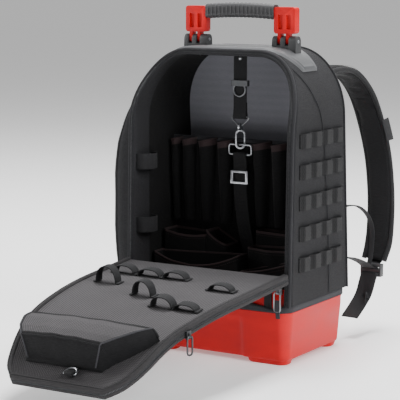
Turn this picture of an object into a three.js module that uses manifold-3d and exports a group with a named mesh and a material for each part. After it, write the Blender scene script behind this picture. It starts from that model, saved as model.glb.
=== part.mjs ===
// Tool backpack: a moulded base tub carries an arched, padded fabric body whose front lid is
// unzipped and folded forward. A carry handle is hinged on top, and two padded shoulder straps
// stand behind. Millimetres, +Z up, +X towards the side with the looped webbing, -Y to the front.
// Everything is drawn about the middle of the body; the last lines move the whole so that the
// origin is on the floor below the middle of its bounding box.
import * as THREE from 'three';
import { mergeVertices } from 'three/addons/utils/BufferGeometryUtils.js';
import Module from 'manifold-3d';

const wasm = await Module();
wasm.setup();

// Clearance between neighbouring pieces
const GAP = 0.3;

// Base tub: outside at its top edge, with walls that lean in towards the floor
const TUB_WIDTH = 328;
const TUB_DEPTH = 222;
const TUB_FRONT = -110;
const TUB_HEIGHT = 88;
const TUB_LEAN = 7;
const TUB_CORNER = 24;
const TUB_WALL = 3;
const TUB_FLOOR = 1;
const FOOT_BOTTOM = -6.5;
const FOOT_WIDTH = 86;
const FOOT_DEPTH = 44;
const TUB_RECESS = 5;
const TUB_RECESS_HALF = 66;
const UPSTAND_INSET = 6.3;
const UPSTAND_HEIGHT = 40;
const BINDING_HEIGHT = 12;
const BINDING_PROUD = 2;

// Fabric body: a band over both sides and the top, closed by a padded back
const BODY_WIDTH = 332;
const CROWN_HEIGHT = 533;
const SHOULDER_WIDTH = 92;
const SHOULDER_HEIGHT = 115;
const BODY_WALL = 8;
const FRONT_LEAN = 55;
const BACK_LEAN = 28;
const BACK_PAD = 14;
const BACK_PAD_BEVEL = 6;

// Flange round the front opening
const RIM_WIDTH = 12;
const RIM_DEPTH = 7;
const RIM_PROUD = 1.5;

// Moulded plate over the top
const PLATE_THICKNESS = 4;
const PLATE_START_ANGLE = 43;
const PLATE_CROWN_FRONT = -47;
const PLATE_CROWN_BACK = 50;
const PLATE_END_FRONT = -20;
const PLATE_END_BACK = 32;

// Carry handle
const HANDLE_SPREAD = 91;
const HANDLE_Y = 12.5;
const PIN_RISE = 14;
const PIN_HEIGHT = CROWN_HEIGHT + PIN_RISE;
const PIN_RADIUS = 2.8;
const BRACKET_WIDTH = 48;
const BRACKET_DEPTH = 22;
const FINGER_WIDTH = 8.5;
const SLOT_WIDTH = 8;
const SLOT_FLOOR_DROP = 7.5;
const FINGER_RADIUS = 9.5;
const PRONG_WIDTH = 6.4;
const PRONG_RADIUS = 6;
const END_WIDTH = 42;
const END_DEPTH = 17;
const END_RISE = 13.5;
const END_HEIGHT = 46.5;
const END_BOTTOM = PIN_HEIGHT + END_RISE;
const END_TOP = END_BOTTOM + END_HEIGHT;
const END_CORNER = 5;
const RECESS_WIDTH = 9;
const RECESS_HEIGHT = 25;
const RECESS_DEPTH = 4;
const GRIP_HEIGHT = 27;
const GRIP_DEPTH = 24;
const GRIP_DROP = 9;
const GRIP_CENTRE = END_TOP - GRIP_DROP;
const GRIP_ARCH = 2.5;

// Bulging pocket on the left side
const POCKET_BULGE = 58;
const POCKET_FRONT = -98;
const POCKET_BACK = 62;
const POCKET_BOTTOM = 108;
const POCKET_TOP = 442;
const POCKET_WALL = 3;

// Looped webbing on the right side
const ROW_TOP = 395;
const ROW_PITCH = 53.5;
const ROW_COUNT = 5;
const WEBBING_WIDTH = 25;
const ROW_FRONT = -76;
const ROW_BACK = 84;
const LOOP_COUNT = 4;
const LOOP_RISE = 6;
const WEBBING_THICKNESS = 1.8;

// Tool board across the inside, with sleeves and pockets on its front
const BOARD_FRONT = 34;
const BOARD_THICKNESS = 3;
const BOARD_BOTTOM = TUB_HEIGHT + UPSTAND_HEIGHT + 2 * GAP;
const BOARD_TOP = 368;
const SLEEVE_BOTTOM = 212;
const SLEEVE_MOUTH = 362;
const SLEEVE_DEPTH = 22;
const SLEEVE_FOOT = 0.62;
const SLEEVE_TILT = 0.22;
const CLOTH = 2;

// Strap that hangs down the middle of the inside
const STRAP_Y = 9;
const STRAP_WIDTH = 27;
const STRAP_HOLE = 2.5;
const STRAP_LOOP = 4.4;
const WIRE = 1.6;
const SLIDER_DROP = 57;
const TRIANGLE_DROP = 66;
const HOOK_DROP = 13;
const HOOK_LENGTH = 45;
const SLIDER_TOP = CROWN_HEIGHT - SLIDER_DROP;
const TRIANGLE_BAR = SLIDER_TOP - TRIANGLE_DROP;
const HOOK_TOP = TRIANGLE_BAR - HOOK_DROP;
const HOOK_BOTTOM = HOOK_TOP - HOOK_LENGTH;
const HOOK_WIDTH = 19;
const HOOK_BAR = 3.2;
const HOOK_THICKNESS = 4;
const HOOK_TURN = 40;
const HOOK_EYE = 3.5;
const GATE_RISE = 12;
const GATE_LENGTH = 14;
const GATE_BOTTOM = HOOK_BOTTOM + GATE_RISE;
const GATE_TOP = GATE_BOTTOM + GATE_LENGTH;
const LOOP_WIDTH = 46;
const LOOP_OVERLAP = 7.8;
const LOOP_HEIGHT = 17.8;
const LOOP_TOP = HOOK_BOTTOM + LOOP_OVERLAP;
const LOOP_BOTTOM = LOOP_TOP - LOOP_HEIGHT;
const BUCKLE_DROP = 29;
const BUCKLE_TOP = LOOP_BOTTOM - BUCKLE_DROP;
const BUCKLE_HEIGHT = 24;
const STRAP_END = 140;

// Front lid, unzipped and folded forward over the tub's front edge
const LID_LENGTH = 466;
const LID_HEIGHT = 158.4;
const LID_RIM_WIDTH = 10;
const LID_RIM_THICKNESS = 18;
const LID_PANEL_SINK = 4;
const LID_PANEL_THICKNESS = 11;

// Shoulder straps
const SHOULDER_STRAP_WIDTH = 56;
const SHOULDER_STRAP_THICKNESS = 14;
const TAIL_WIDTH = 34;

// Depth profile of the front edge: share of the body's height, share of FRONT_LEAN
const FRONT_PROFILE = [
  { up: 0.0, lean: 0.0 },
  { up: 0.69, lean: 0.13 },
  { up: 0.76, lean: 0.23 },
  { up: 0.83, lean: 0.46 },
  { up: 0.9, lean: 0.75 },
  { up: 0.96, lean: 0.94 },
  { up: 1.0, lean: 1.0 },
];

// Side pocket: share of its height, share of its bulge
const POCKET_PROFILE = [
  { up: 0.0, bulge: 0.3 },
  { up: 0.03, bulge: 0.68 },
  { up: 0.1, bulge: 0.93 },
  { up: 0.3, bulge: 1.0 },
  { up: 0.6, bulge: 0.98 },
  { up: 0.76, bulge: 0.87 },
  { up: 0.88, bulge: 0.62 },
  { up: 0.96, bulge: 0.36 },
  { up: 1.0, bulge: 0.14 },
];

// Tool sleeves, sewn from one strip on either side: middle and width at the mouth
const SLEEVES = [
  { row: 'left', x: -146, width: 18 },
  { row: 'left', x: -119, width: 25 },
  { row: 'left', x: -80, width: 32 },
  { row: 'left', x: -40, width: 34 },
  { row: 'right', x: 34, width: 34 },
  { row: 'right', x: 72, width: 33 },
  { row: 'right', x: 110, width: 33 },
];
// Elastic loops on the left inner wall: height of each one's middle
const WALL_LOOPS = { upper: 330, lower: 215 };
const SLEEVE_STRIPS = { left: [-155, -23], right: [17, 127] };

// Open pockets on the board, sewn together side by side or one before the other: sides, front
// and back, bottom, and height of the mouth at its left end, its middle and its right end
const POCKETS = [
  { piece: 'middle_pocket', x: [-151, -60], y: [-12, 33.7], bottom: 104, mouth: [197, 189, 193] },
  { piece: 'middle_pocket', x: [-62, -16], y: [-12, 33.7], bottom: 104, mouth: [202, 186, 178] },
  { piece: 'low_pocket', x: [-151, 30], y: [-46, -12.4], bottom: 110, mouth: [160, 143, 168] },
  { piece: 'step_pocket', x: [34, 151], y: [4, 33.7], bottom: 104, mouth: [206, 204, 206] },
  { piece: 'step_pocket', x: [34, 151], y: [-24, 6], bottom: 106, mouth: [180, 178, 184] },
  { piece: 'step_pocket', x: [34, 151], y: [-50, -22], bottom: 110, mouth: [140, 150, 170] },
];

// Lid outline: share of its length, share of half its width
const LID_OUTLINE = [
  { along: 0.0, width: 1.0 },
  { along: 0.3, width: 0.983 },
  { along: 0.45, width: 0.95 },
  { along: 0.61, width: 0.903 },
  { along: 0.76, width: 0.833 },
  { along: 0.84, width: 0.785 },
  { along: 0.91, width: 0.72 },
  { along: 0.96, width: 0.65 },
  { along: 0.985, width: 0.59 },
  { along: 1.0, width: 0.49 },
];

// Lid droop: share of its length, slope in degrees
const LID_DROOP = [
  { along: 0.0, slope: 4.7 },
  { along: 0.32, slope: 4.7 },
  { along: 0.64, slope: 13.2 },
  { along: 0.815, slope: 35.6 },
  { along: 1.0, slope: 28.2 },
];

// Bellows pocket on the lid: share of the lid's length, height, and the foot's two sides
const BELLOWS = [
  { along: 0.735, height: 24, left: -124, right: 124 },
  { along: 0.78, height: 36, left: -119, right: 114 },
  { along: 0.83, height: 44, left: -108, right: 94 },
  { along: 0.872, height: 46, left: -94, right: 74 },
  { along: 0.912, height: 9, left: -84, right: 62 },
];
const BELLOWS_CREST = 7;

// Elastic bands across the lid: place along it, and the middle, width and rise of each arch
const LID_BANDS = [
  {
    name: 'lid_band_hinge',
    along: 76,
    arches: [{ x: -110, width: 44, rise: 16 }, { x: -58, width: 46, rise: 14 }, { x: -6, width: 46, rise: 14 }],
  },
  { name: 'lid_band_torch', along: 138, arches: [{ x: -104, width: 42, rise: 30 }] },
  { name: 'lid_band_edge', along: 112, arches: [{ x: 106, width: 44, rise: 13 }] },
  { name: 'lid_band_driver', along: 182, arches: [{ x: -2, width: 38, rise: 27 }] },
  { name: 'lid_band_rule', along: 222, arches: [{ x: 62, width: 42, rise: 20 }, { x: 106, width: 42, rise: 12 }] },
];
const LID_BAND_WIDTH = 18;
const LID_TAB_ALONG = 0.95;
const LID_TAB_X = 14;
const LID_ZIP_ALONG = 0.64;

// Right shoulder strap's middle line: side, depth and height
const STRAP_LINE = [
  [98, 105.1, 484],
  [103, 150, 491],
  [109, 200, 485],
  [114, 232, 466],
  [121, 259, 434],
  [132, 277, 378],
  [143, 282, 322],
  [150, 281, 266],
  [154, 276, 220],
  [156, 264, 160],
  [154, 249, 128],
];

// Buckle at the strap's lower end: its middle, size, and the two slots that take the webbing
const LADDER = { x: 154, y: 240, z: 110, width: 42, depth: 13, height: 24 };
const LADDER_SLOT = 4;
const LADDER_REACH = 5;

// Loose webbing below the buckle, and the webbing that comes to it from the body
const TAIL_LINE = [
  [154, 245, 105],
  [154, 238, 105],
  [154, 231, 104.5],
  [153, 226, 96],
  [151, 212, 68],
  [150, 188, 50],
  [149, 158, 33],
];
const LOWER_LINE = [
  [148, 123.7, 152],
  [150, 160, 144],
  [152, 205, 128],
  [153, 228, 116],
  [154, 236, 115],
  [154, 245, 115],
];
const THIN_LINE = [
  [148, 117.8, 243],
  [149, 150, 243],
  [150, 188, 236],
  [151, 226, 214],
  [152, 242, 188],
  [152, 242, 158],
  [153, 235, 134],
  [153, 226, 116],
];

const HALF = BODY_WIDTH / 2;
const TUB_MIDDLE = TUB_FRONT + TUB_DEPTH / 2;
const BODY_BASE = TUB_HEIGHT + BINDING_HEIGHT + 2 * GAP;
const BODY_BACK = TUB_FRONT + TUB_DEPTH;
const LID_START = TUB_FRONT - 2;
const DEGREE = Math.PI / 180;

// Materials
function finish(color, roughness, metalness = 0) {
  return new THREE.MeshStandardMaterial({ color, roughness, metalness });
}
const RED_PLASTIC = finish(0xc8383a, 0.45);
const BLACK_PLASTIC = finish(0x2c2d2f, 0.55);
const GREY_PLASTIC = finish(0x4a4b4e, 0.6);
const BODY_FABRIC = finish(0x45464a, 0.9);
const LID_FABRIC = finish(0x55565a, 0.9);
const LINING = finish(0x3a3a3d, 0.9);
const WEBBING = finish(0x2a2a2c, 0.85);
const STEEL = finish(0xb8bac0, 0.3, 1);

const group = new THREE.Group();
group.name = 'tool_backpack';

function add(name, geometry, material) {
  const mesh = new THREE.Mesh(geometry, material);
  mesh.name = name;
  group.add(mesh);
}

// Value of one column of a table at a place in another, straight between its rows
function tableAt(table, key, column, at) {
  for (let i = 1; i < table.length; i += 1) {
    const low = table[i - 1];
    const high = table[i];
    if (at <= high[key] || i === table.length - 1) {
      const share = (at - low[key]) / (high[key] - low[key]);
      return low[column] + (high[column] - low[column]) * share;
    }
  }
  return table[0][column];
}

function vec(x, y, z) {
  return new THREE.Vector3(x, y, z);
}

// Triangles of a flat ring, by its own plane
function capFaces(ring, first, flip) {
  const normal = vec(0, 0, 0);
  ring.forEach((p, i) => {
    const q = ring[(i + 1) % ring.length];
    normal.add(new THREE.Vector3().crossVectors(p, q));
  });
  normal.normalize();
  const across = new THREE.Vector3().subVectors(ring[1], ring[0]);
  across.addScaledVector(normal, -across.dot(normal)).normalize();
  const along = new THREE.Vector3().crossVectors(normal, across);
  const flat = ring.map((p) => new THREE.Vector2(p.dot(across), p.dot(along)));
  const faces = THREE.ShapeUtils.triangulateShape(flat, []);
  return faces.flatMap(([a, b, c]) => (flip ? [first + a, first + c, first + b] : [first + a, first + b, first + c]));
}

function facePointsOut(positions, index) {
  let volume = 0;
  const [a, b, c] = [vec(0, 0, 0), vec(0, 0, 0), vec(0, 0, 0)];
  for (let i = 0; i < index.length; i += 3) {
    a.fromArray(positions, index[i] * 3);
    b.fromArray(positions, index[i + 1] * 3);
    c.fromArray(positions, index[i + 2] * 3);
    volume += a.dot(b.cross(c));
  }
  return volume > 0;
}

function buildGeometry(positions, index) {
  const faces = facePointsOut(positions, index) ? index : index.slice().reverse();
  const geometry = new THREE.BufferGeometry();
  geometry.setAttribute('position', new THREE.Float32BufferAttribute(positions, 3));
  geometry.setIndex(faces);
  return geometry;
}

// Closed solid through a row of rings with the same number of points; a loop joins last to first
function loft(rings, loop = false) {
  const count = rings[0].length;
  const positions = rings.flat().flatMap((p) => [p.x, p.y, p.z]);
  const index = [];
  const spans = loop ? rings.length : rings.length - 1;
  for (let r = 0; r < spans; r += 1) {
    const here = r * count;
    const next = ((r + 1) % rings.length) * count;
    for (let i = 0; i < count; i += 1) {
      const j = (i + 1) % count;
      index.push(here + i, here + j, next + i, here + j, next + j, next + i);
    }
  }
  if (!loop) {
    index.push(...capFaces(rings[0], 0, true));
    index.push(...capFaces(rings[rings.length - 1], (rings.length - 1) * count, false));
  }
  return buildGeometry(positions, index);
}

function toSolid(geometry) {
  const bare = geometry.clone();
  bare.deleteAttribute('normal');
  bare.deleteAttribute('uv');
  const merged = mergeVertices(bare, 1e-4);
  return new wasm.Manifold(new wasm.Mesh({
    numProp: 3,
    vertProperties: new Float32Array(merged.attributes.position.array),
    triVerts: new Uint32Array(merged.index.array),
  }));
}

function toGeometry(solid) {
  const result = solid.getMesh();
  const geometry = new THREE.BufferGeometry();
  geometry.setAttribute('position', new THREE.Float32BufferAttribute(result.vertProperties, 3));
  geometry.setIndex(Array.from(result.triVerts));
  return geometry;
}

function cut(geometry, ...tools) {
  return toGeometry(tools.reduce((solid, tool) => solid.subtract(toSolid(tool)), toSolid(geometry)));
}

function join(...geometries) {
  const [first, ...rest] = geometries.map(toSolid);
  return toGeometry(rest.reduce((solid, piece) => solid.add(piece), first));
}

function box(x0, x1, y0, y1, z0, z1) {
  const geometry = new THREE.BoxGeometry(x1 - x0, y1 - y0, z1 - z0);
  return geometry.translate((x0 + x1) / 2, (y0 + y1) / 2, (z0 + z1) / 2);
}

// Outline drawn in Y and Z, run along X
function extrudeX(shape, x0, x1) {
  const geometry = new THREE.ExtrudeGeometry(shape, { depth: x1 - x0, bevelEnabled: false, curveSegments: 8 });
  const turn = new THREE.Matrix4().makeBasis(vec(0, 1, 0), vec(0, 0, 1), vec(1, 0, 0));
  return geometry.applyMatrix4(turn).translate(x0, 0, 0);
}

// Outline drawn in X and Z, run along Y
function extrudeY(shape, y0, y1) {
  const geometry = new THREE.ExtrudeGeometry(shape, { depth: y1 - y0, bevelEnabled: false, curveSegments: 8 });
  const turn = new THREE.Matrix4().makeBasis(vec(1, 0, 0), vec(0, 0, 1), vec(0, -1, 0));
  return geometry.applyMatrix4(turn).translate(0, y1, 0);
}

// Outline drawn in X and Y, run up Z
function extrudeZ(shape, z0, z1) {
  const geometry = new THREE.ExtrudeGeometry(shape, { depth: z1 - z0, bevelEnabled: false, curveSegments: 6 });
  return geometry.translate(0, 0, z0);
}

function rodX(x0, x1, y, z, radius, sides = 16) {
  const geometry = new THREE.CylinderGeometry(radius, radius, x1 - x0, sides);
  return geometry.rotateZ(Math.PI / 2).translate((x0 + x1) / 2, y, z);
}

function roundedRectangle(x0, x1, y0, y1, radius, steps = 4) {
  const corners = [
    [x1 - radius, y1 - radius, 0],
    [x0 + radius, y1 - radius, 90],
    [x0 + radius, y0 + radius, 180],
    [x1 - radius, y0 + radius, 270],
  ];
  return corners.flatMap(([cx, cy, start]) => Array.from({ length: steps + 1 }, (_, i) => {
    const angle = (start + (90 * i) / steps) * DEGREE;
    return new THREE.Vector2(cx + radius * Math.cos(angle), cy + radius * Math.sin(angle));
  }));
}

function roundedShape(x0, x1, y0, y1, radius) {
  return new THREE.Shape(roundedRectangle(x0, x1, y0, y1, radius));
}

// Flat strip along points, with its width in one fixed direction
function ribbon(points, width, thickness, across = vec(1, 0, 0)) {
  const rings = points.map((p, i) => {
    const before = points[Math.max(i - 1, 0)];
    const after = points[Math.min(i + 1, points.length - 1)];
    const tangent = new THREE.Vector3().subVectors(after, before).normalize();
    const side = across.clone().addScaledVector(tangent, -across.dot(tangent)).normalize();
    const up = new THREE.Vector3().crossVectors(tangent, side).normalize();
    const corner = (a, b) => p.clone().addScaledVector(side, a * width / 2).addScaledVector(up, b * thickness / 2);
    return [corner(-1, -1), corner(1, -1), corner(1, 1), corner(-1, 1)];
  });
  return loft(rings);
}

// Closed wire along flat points in a plane with the given normal
function wireLoop(points, radius, normal, sides = 6) {
  const rings = points.map((p, i) => {
    const before = points[(i + points.length - 1) % points.length];
    const after = points[(i + 1) % points.length];
    const tangent = new THREE.Vector3().subVectors(after, before).normalize();
    const outward = new THREE.Vector3().crossVectors(tangent, normal).normalize();
    return Array.from({ length: sides }, (_, k) => {
      const angle = ((k + 0.5) * 2 * Math.PI) / sides;
      return p.clone()
        .addScaledVector(outward, radius * Math.cos(angle))
        .addScaledVector(normal, radius * Math.sin(angle));
    });
  });
  return loft(rings, true);
}

function heightShare(z) {
  return (z - BODY_BASE) / (CROWN_HEIGHT - BODY_BASE);
}

// Front face of the rim by height; the body wall starts behind the rim
function frontY(z) {
  return TUB_FRONT + FRONT_LEAN * tableAt(FRONT_PROFILE, 'up', 'lean', heightShare(z));
}

function backY(z) {
  return BODY_BACK - BACK_LEAN * heightShare(z);
}

function halfWidthAt(z) {
  const rise = Math.max(z - (CROWN_HEIGHT - SHOULDER_HEIGHT), 0) / SHOULDER_HEIGHT;
  return HALF - SHOULDER_WIDTH + SHOULDER_WIDTH * Math.sqrt(Math.max(1 - rise * rise, 0));
}

// Arch over the body, from low on the right to low on the left, inset from its outside
function archOutline(inset, startAngle = null) {
  const side = [];
  const shoulderZ = CROWN_HEIGHT - SHOULDER_HEIGHT;
  if (startAngle === null) {
    [0, 0.35, 0.7, 0.92].forEach((share) => {
      side.push(new THREE.Vector2(HALF - inset, BODY_BASE + (shoulderZ - BODY_BASE) * share));
    });
  }
  const steps = 10;
  const start = startAngle ?? 0;
  for (let i = 0; i <= steps; i += 1) {
    const angle = (start + ((90 - start) * i) / steps) * DEGREE;
    side.push(new THREE.Vector2(
      HALF - SHOULDER_WIDTH + (SHOULDER_WIDTH - inset) * Math.cos(angle),
      shoulderZ + (SHOULDER_HEIGHT - inset) * Math.sin(angle),
    ));
  }
  side.push(new THREE.Vector2((HALF - SHOULDER_WIDTH) / 3, CROWN_HEIGHT - inset));
  const mirrored = side.slice().reverse().map((p) => new THREE.Vector2(-p.x, p.y));
  return [...side, ...mirrored];
}

function roundedRing(x0, x1, y0, y1, radius, z) {
  return roundedRectangle(x0, x1, y0, y1, radius, 4).map((p) => vec(p.x, p.y, z));
}

// Ring of the tub's outline, moved in from its top edge on every side; the middle of the front
// can be set back
function tubRing(inset, z, recess = 0) {
  const half = TUB_WIDTH / 2 - inset;
  const front = TUB_FRONT + inset;
  const ring = roundedRing(-half, half, front, BODY_BACK - inset, Math.max(TUB_CORNER - inset, 2), z);
  const middle = [-TUB_RECESS_HALF - 8, -TUB_RECESS_HALF, TUB_RECESS_HALF, TUB_RECESS_HALF + 8]
    .map((x, i) => vec(x, front + (i === 1 || i === 2 ? recess : 0), z));
  const leftCorners = (ring.length / 4) * 3;
  return [...ring.slice(0, leftCorners), ...middle, ...ring.slice(leftCorners)];
}

function makeTub() {
  const floor = TUB_FLOOR + TUB_WALL;
  const shoulder = TUB_HEIGHT - 2;
  const top = TUB_HEIGHT + UPSTAND_HEIGHT;
  const outside = loft([
    tubRing(TUB_LEAN + 4, TUB_FLOOR, TUB_RECESS),
    tubRing(TUB_LEAN - 1, TUB_FLOOR + 5, TUB_RECESS),
    tubRing(2, TUB_HEIGHT - 24, TUB_RECESS),
    tubRing(1, TUB_HEIGHT - 12),
    tubRing(1, shoulder),
    tubRing(0, shoulder),
    tubRing(0, TUB_HEIGHT),
    tubRing(UPSTAND_INSET, TUB_HEIGHT),
    tubRing(UPSTAND_INSET, top),
  ]);
  const inside = loft([
    tubRing(TUB_LEAN + 4 + TUB_WALL, floor, TUB_RECESS),
    tubRing(TUB_LEAN - 1 + TUB_WALL, floor + 5, TUB_RECESS),
    tubRing(2 + TUB_WALL, TUB_HEIGHT - 24, TUB_RECESS),
    tubRing(1 + TUB_WALL, TUB_HEIGHT - 12),
    tubRing(UPSTAND_INSET + TUB_WALL, shoulder - 4),
    tubRing(UPSTAND_INSET + TUB_WALL, top + 1),
  ]);
  const reach = TUB_WIDTH / 2 - TUB_LEAN;
  const front = TUB_FRONT + TUB_LEAN;
  const back = BODY_BACK - TUB_LEAN;
  const feet = [-1, 1].flatMap((sx) => [front, back - FOOT_DEPTH].map((y) => {
    const x = sx < 0 ? -reach : reach - FOOT_WIDTH;
    const pad = (inset, z) => roundedRing(x + inset, x + FOOT_WIDTH - inset, y + inset, y + FOOT_DEPTH - inset, 14, z);
    return loft([pad(5, FOOT_BOTTOM), pad(1, floor - 0.5)]);
  }));
  add('base_tub', join(cut(outside, inside), ...feet), RED_PLASTIC);
}

function makeBinding() {
  const low = TUB_HEIGHT + GAP;
  const high = low + BINDING_HEIGHT;
  const outside = loft([tubRing(-BINDING_PROUD, low), tubRing(-BINDING_PROUD, high)]);
  const inside = loft([tubRing(UPSTAND_INSET - GAP, low - 1), tubRing(UPSTAND_INSET - GAP, high + 1)]);
  add('tub_binding', cut(outside, inside), WEBBING);
}

function makeBodyWall() {
  const outer = archOutline(0);
  const inner = archOutline(BODY_WALL);
  const rings = outer.map((p, i) => {
    const q = inner[i];
    const front = frontY(p.y) + RIM_DEPTH + GAP;
    const back = backY(p.y);
    return [vec(p.x, front, p.y), vec(p.x, back, p.y), vec(q.x, back, q.y), vec(q.x, front, q.y)];
  });
  add('body_wall', loft(rings), BODY_FABRIC);
}

function makeRim() {
  const outer = archOutline(-RIM_PROUD);
  const inner = archOutline(RIM_WIDTH - RIM_PROUD);
  const edge = archOutline(0);
  const rings = edge.map((p, i) => {
    const front = frontY(p.y);
    const back = front + RIM_DEPTH;
    const [a, b] = [outer[i], inner[i]];
    return [
      vec(a.x, back, a.y),
      vec(a.x, front + 2, a.y),
      vec(p.x, front, p.y),
      vec(b.x, front + 2, b.y),
      vec(b.x, back, b.y),
    ];
  });
  add('front_rim', loft(rings), BODY_FABRIC);
}

function makeBackPanel() {
  const shoulderZ = CROWN_HEIGHT - SHOULDER_HEIGHT;
  const shares = [0, 0.2, 0.38, 0.54, 0.68, 0.8, 0.9, 0.96];
  const levels = [BODY_BASE, (BODY_BASE + shoulderZ) / 2, ...shares.map((s) => shoulderZ + s * SHOULDER_HEIGHT)];
  const rings = levels.map((z) => {
    const w = halfWidthAt(z) - 2;
    const near = backY(z) + GAP;
    const far = near + BACK_PAD;
    return [
      vec(-w, near, z),
      vec(w, near, z),
      vec(w, far - BACK_PAD_BEVEL, z),
      vec(w - BACK_PAD_BEVEL, far, z),
      vec(-w + BACK_PAD_BEVEL, far, z),
      vec(-w, far - BACK_PAD_BEVEL, z),
    ];
  });
  add('back_panel', loft(rings), BODY_FABRIC);
}

function makeTopPlate() {
  const low = archOutline(-GAP, PLATE_START_ANGLE);
  const high = archOutline(-GAP - PLATE_THICKNESS, PLATE_START_ANGLE);
  const endX = low[0].x;
  const crownX = HALF - SHOULDER_WIDTH;
  const rings = low.map((p, i) => {
    const q = high[i];
    const share = Math.min(Math.max((Math.abs(p.x) - crownX) / (endX - crownX), 0), 1) ** 2;
    const front = PLATE_CROWN_FRONT + (PLATE_END_FRONT - PLATE_CROWN_FRONT) * share;
    const back = PLATE_CROWN_BACK + (PLATE_END_BACK - PLATE_CROWN_BACK) * share;
    return [vec(p.x, front, p.y), vec(p.x, back, p.y), vec(q.x, back - 2, q.y), vec(q.x, front + 2, q.y)];
  });
  add('top_plate', loft(rings), GREY_PLASTIC);
}

// Everything below the plate's top face, for cutting the brackets to its curve
function underPlate() {
  const arch = archOutline(-2 * GAP - PLATE_THICKNESS, PLATE_START_ANGLE);
  const shape = new THREE.Shape([
    ...arch,
    new THREE.Vector2(arch[arch.length - 1].x, BODY_BASE),
    new THREE.Vector2(arch[0].x, BODY_BASE),
  ]);
  return extrudeY(shape, HANDLE_Y - BRACKET_DEPTH, HANDLE_Y + BRACKET_DEPTH);
}

// Upright with a round head about the pin and a foot that spreads, drawn in Y and Z
function uprightShape(radius, foot, bottom) {
  const shape = new THREE.Shape();
  shape.moveTo(HANDLE_Y - foot, bottom);
  shape.lineTo(HANDLE_Y + foot, bottom);
  shape.lineTo(HANDLE_Y + radius, PIN_HEIGHT);
  shape.absarc(HANDLE_Y, PIN_HEIGHT, radius, 0, Math.PI, false);
  shape.lineTo(HANDLE_Y - foot, bottom);
  return shape;
}

function makeBracket(name, centre) {
  const left = centre - BRACKET_WIDTH / 2;
  const body = extrudeX(uprightShape(FINGER_RADIUS, BRACKET_DEPTH / 2, CROWN_HEIGHT - 20), left, left + BRACKET_WIDTH);
  const slots = [FINGER_WIDTH, 2 * FINGER_WIDTH + SLOT_WIDTH].map((offset) => box(
    left + offset,
    left + offset + SLOT_WIDTH,
    HANDLE_Y - BRACKET_DEPTH,
    HANDLE_Y + BRACKET_DEPTH,
    PIN_HEIGHT - SLOT_FLOOR_DROP,
    PIN_HEIGHT + 2 * FINGER_RADIUS,
  ));
  const hole = rodX(left - 1, left + BRACKET_WIDTH + 1, HANDLE_Y, PIN_HEIGHT, PIN_RADIUS + 0.4);
  add(`handle_bracket_${name}`, cut(body, ...slots, hole, underPlate()), BLACK_PLASTIC);
  const pin = rodX(left - 0.8, left + BRACKET_WIDTH + 0.8, HANDLE_Y, PIN_HEIGHT, PIN_RADIUS);
  add(`handle_pin_${name}`, pin, STEEL);
}

function makeHandleEnd(name, centre) {
  const half = END_WIDTH / 2;
  const front = HANDLE_Y - END_DEPTH / 2;
  const back = HANDLE_Y + END_DEPTH / 2;
  const block = extrudeY(roundedShape(centre - half, centre + half, END_BOTTOM, END_TOP, END_CORNER), front, back);
  const left = centre - BRACKET_WIDTH / 2;
  const prongs = [FINGER_WIDTH, 2 * FINGER_WIDTH + SLOT_WIDTH].map((offset) => {
    const start = left + offset + (SLOT_WIDTH - PRONG_WIDTH) / 2;
    const shape = new THREE.Shape();
    shape.moveTo(HANDLE_Y + PRONG_RADIUS, END_BOTTOM + END_CORNER);
    shape.lineTo(HANDLE_Y - PRONG_RADIUS, END_BOTTOM + END_CORNER);
    shape.lineTo(HANDLE_Y - PRONG_RADIUS, PIN_HEIGHT);
    shape.absarc(HANDLE_Y, PIN_HEIGHT, PRONG_RADIUS, Math.PI, 2 * Math.PI, false);
    return extrudeX(shape, start, start + PRONG_WIDTH);
  });
  const middle = (END_BOTTOM + END_TOP) / 2 - 3;
  const recesses = [-RECESS_WIDTH * 0.9, RECESS_WIDTH * 0.9].flatMap((offset) => [front, back].map((face) => box(
    centre + offset - RECESS_WIDTH / 2,
    centre + offset + RECESS_WIDTH / 2,
    face - RECESS_DEPTH,
    face + RECESS_DEPTH,
    middle - RECESS_HEIGHT / 2,
    middle + RECESS_HEIGHT / 2,
  )));
  const hole = rodX(left, left + BRACKET_WIDTH, HANDLE_Y, PIN_HEIGHT, PIN_RADIUS + 0.4);
  add(`handle_end_${name}`, cut(join(block, ...prongs), ...recesses, hole), RED_PLASTIC);
}

function makeGrip() {
  const reach = HANDLE_SPREAD - END_WIDTH / 2 - GAP;
  const section = roundedRectangle(-GRIP_DEPTH / 2, GRIP_DEPTH / 2, -GRIP_HEIGHT / 2, GRIP_HEIGHT / 2, 9, 3);
  const steps = 12;
  const rings = Array.from({ length: steps + 1 }, (_, i) => {
    const share = (2 * i) / steps - 1;
    const lift = GRIP_CENTRE + GRIP_ARCH * (1 - share * share);
    return section.map((p) => vec(reach * share, HANDLE_Y + p.x, lift + p.y));
  });
  add('handle_grip', loft(rings), BLACK_PLASTIC);
}

// Half outline that bulges from a wall: out of it, and along it between two ends
function bulgeOutline(out, start, end, steps, power = 3.2) {
  const half = (end - start) / 2;
  const middle = (end + start) / 2;
  return Array.from({ length: steps + 1 }, (_, i) => {
    const angle = (-90 + (180 * i) / steps) * DEGREE;
    const cos = Math.max(Math.cos(angle), 0);
    const sin = Math.sin(angle);
    return new THREE.Vector2(
      out * cos ** (2 / power),
      middle + half * Math.sign(sin) * Math.abs(sin) ** (2 / power),
    );
  });
}

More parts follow.
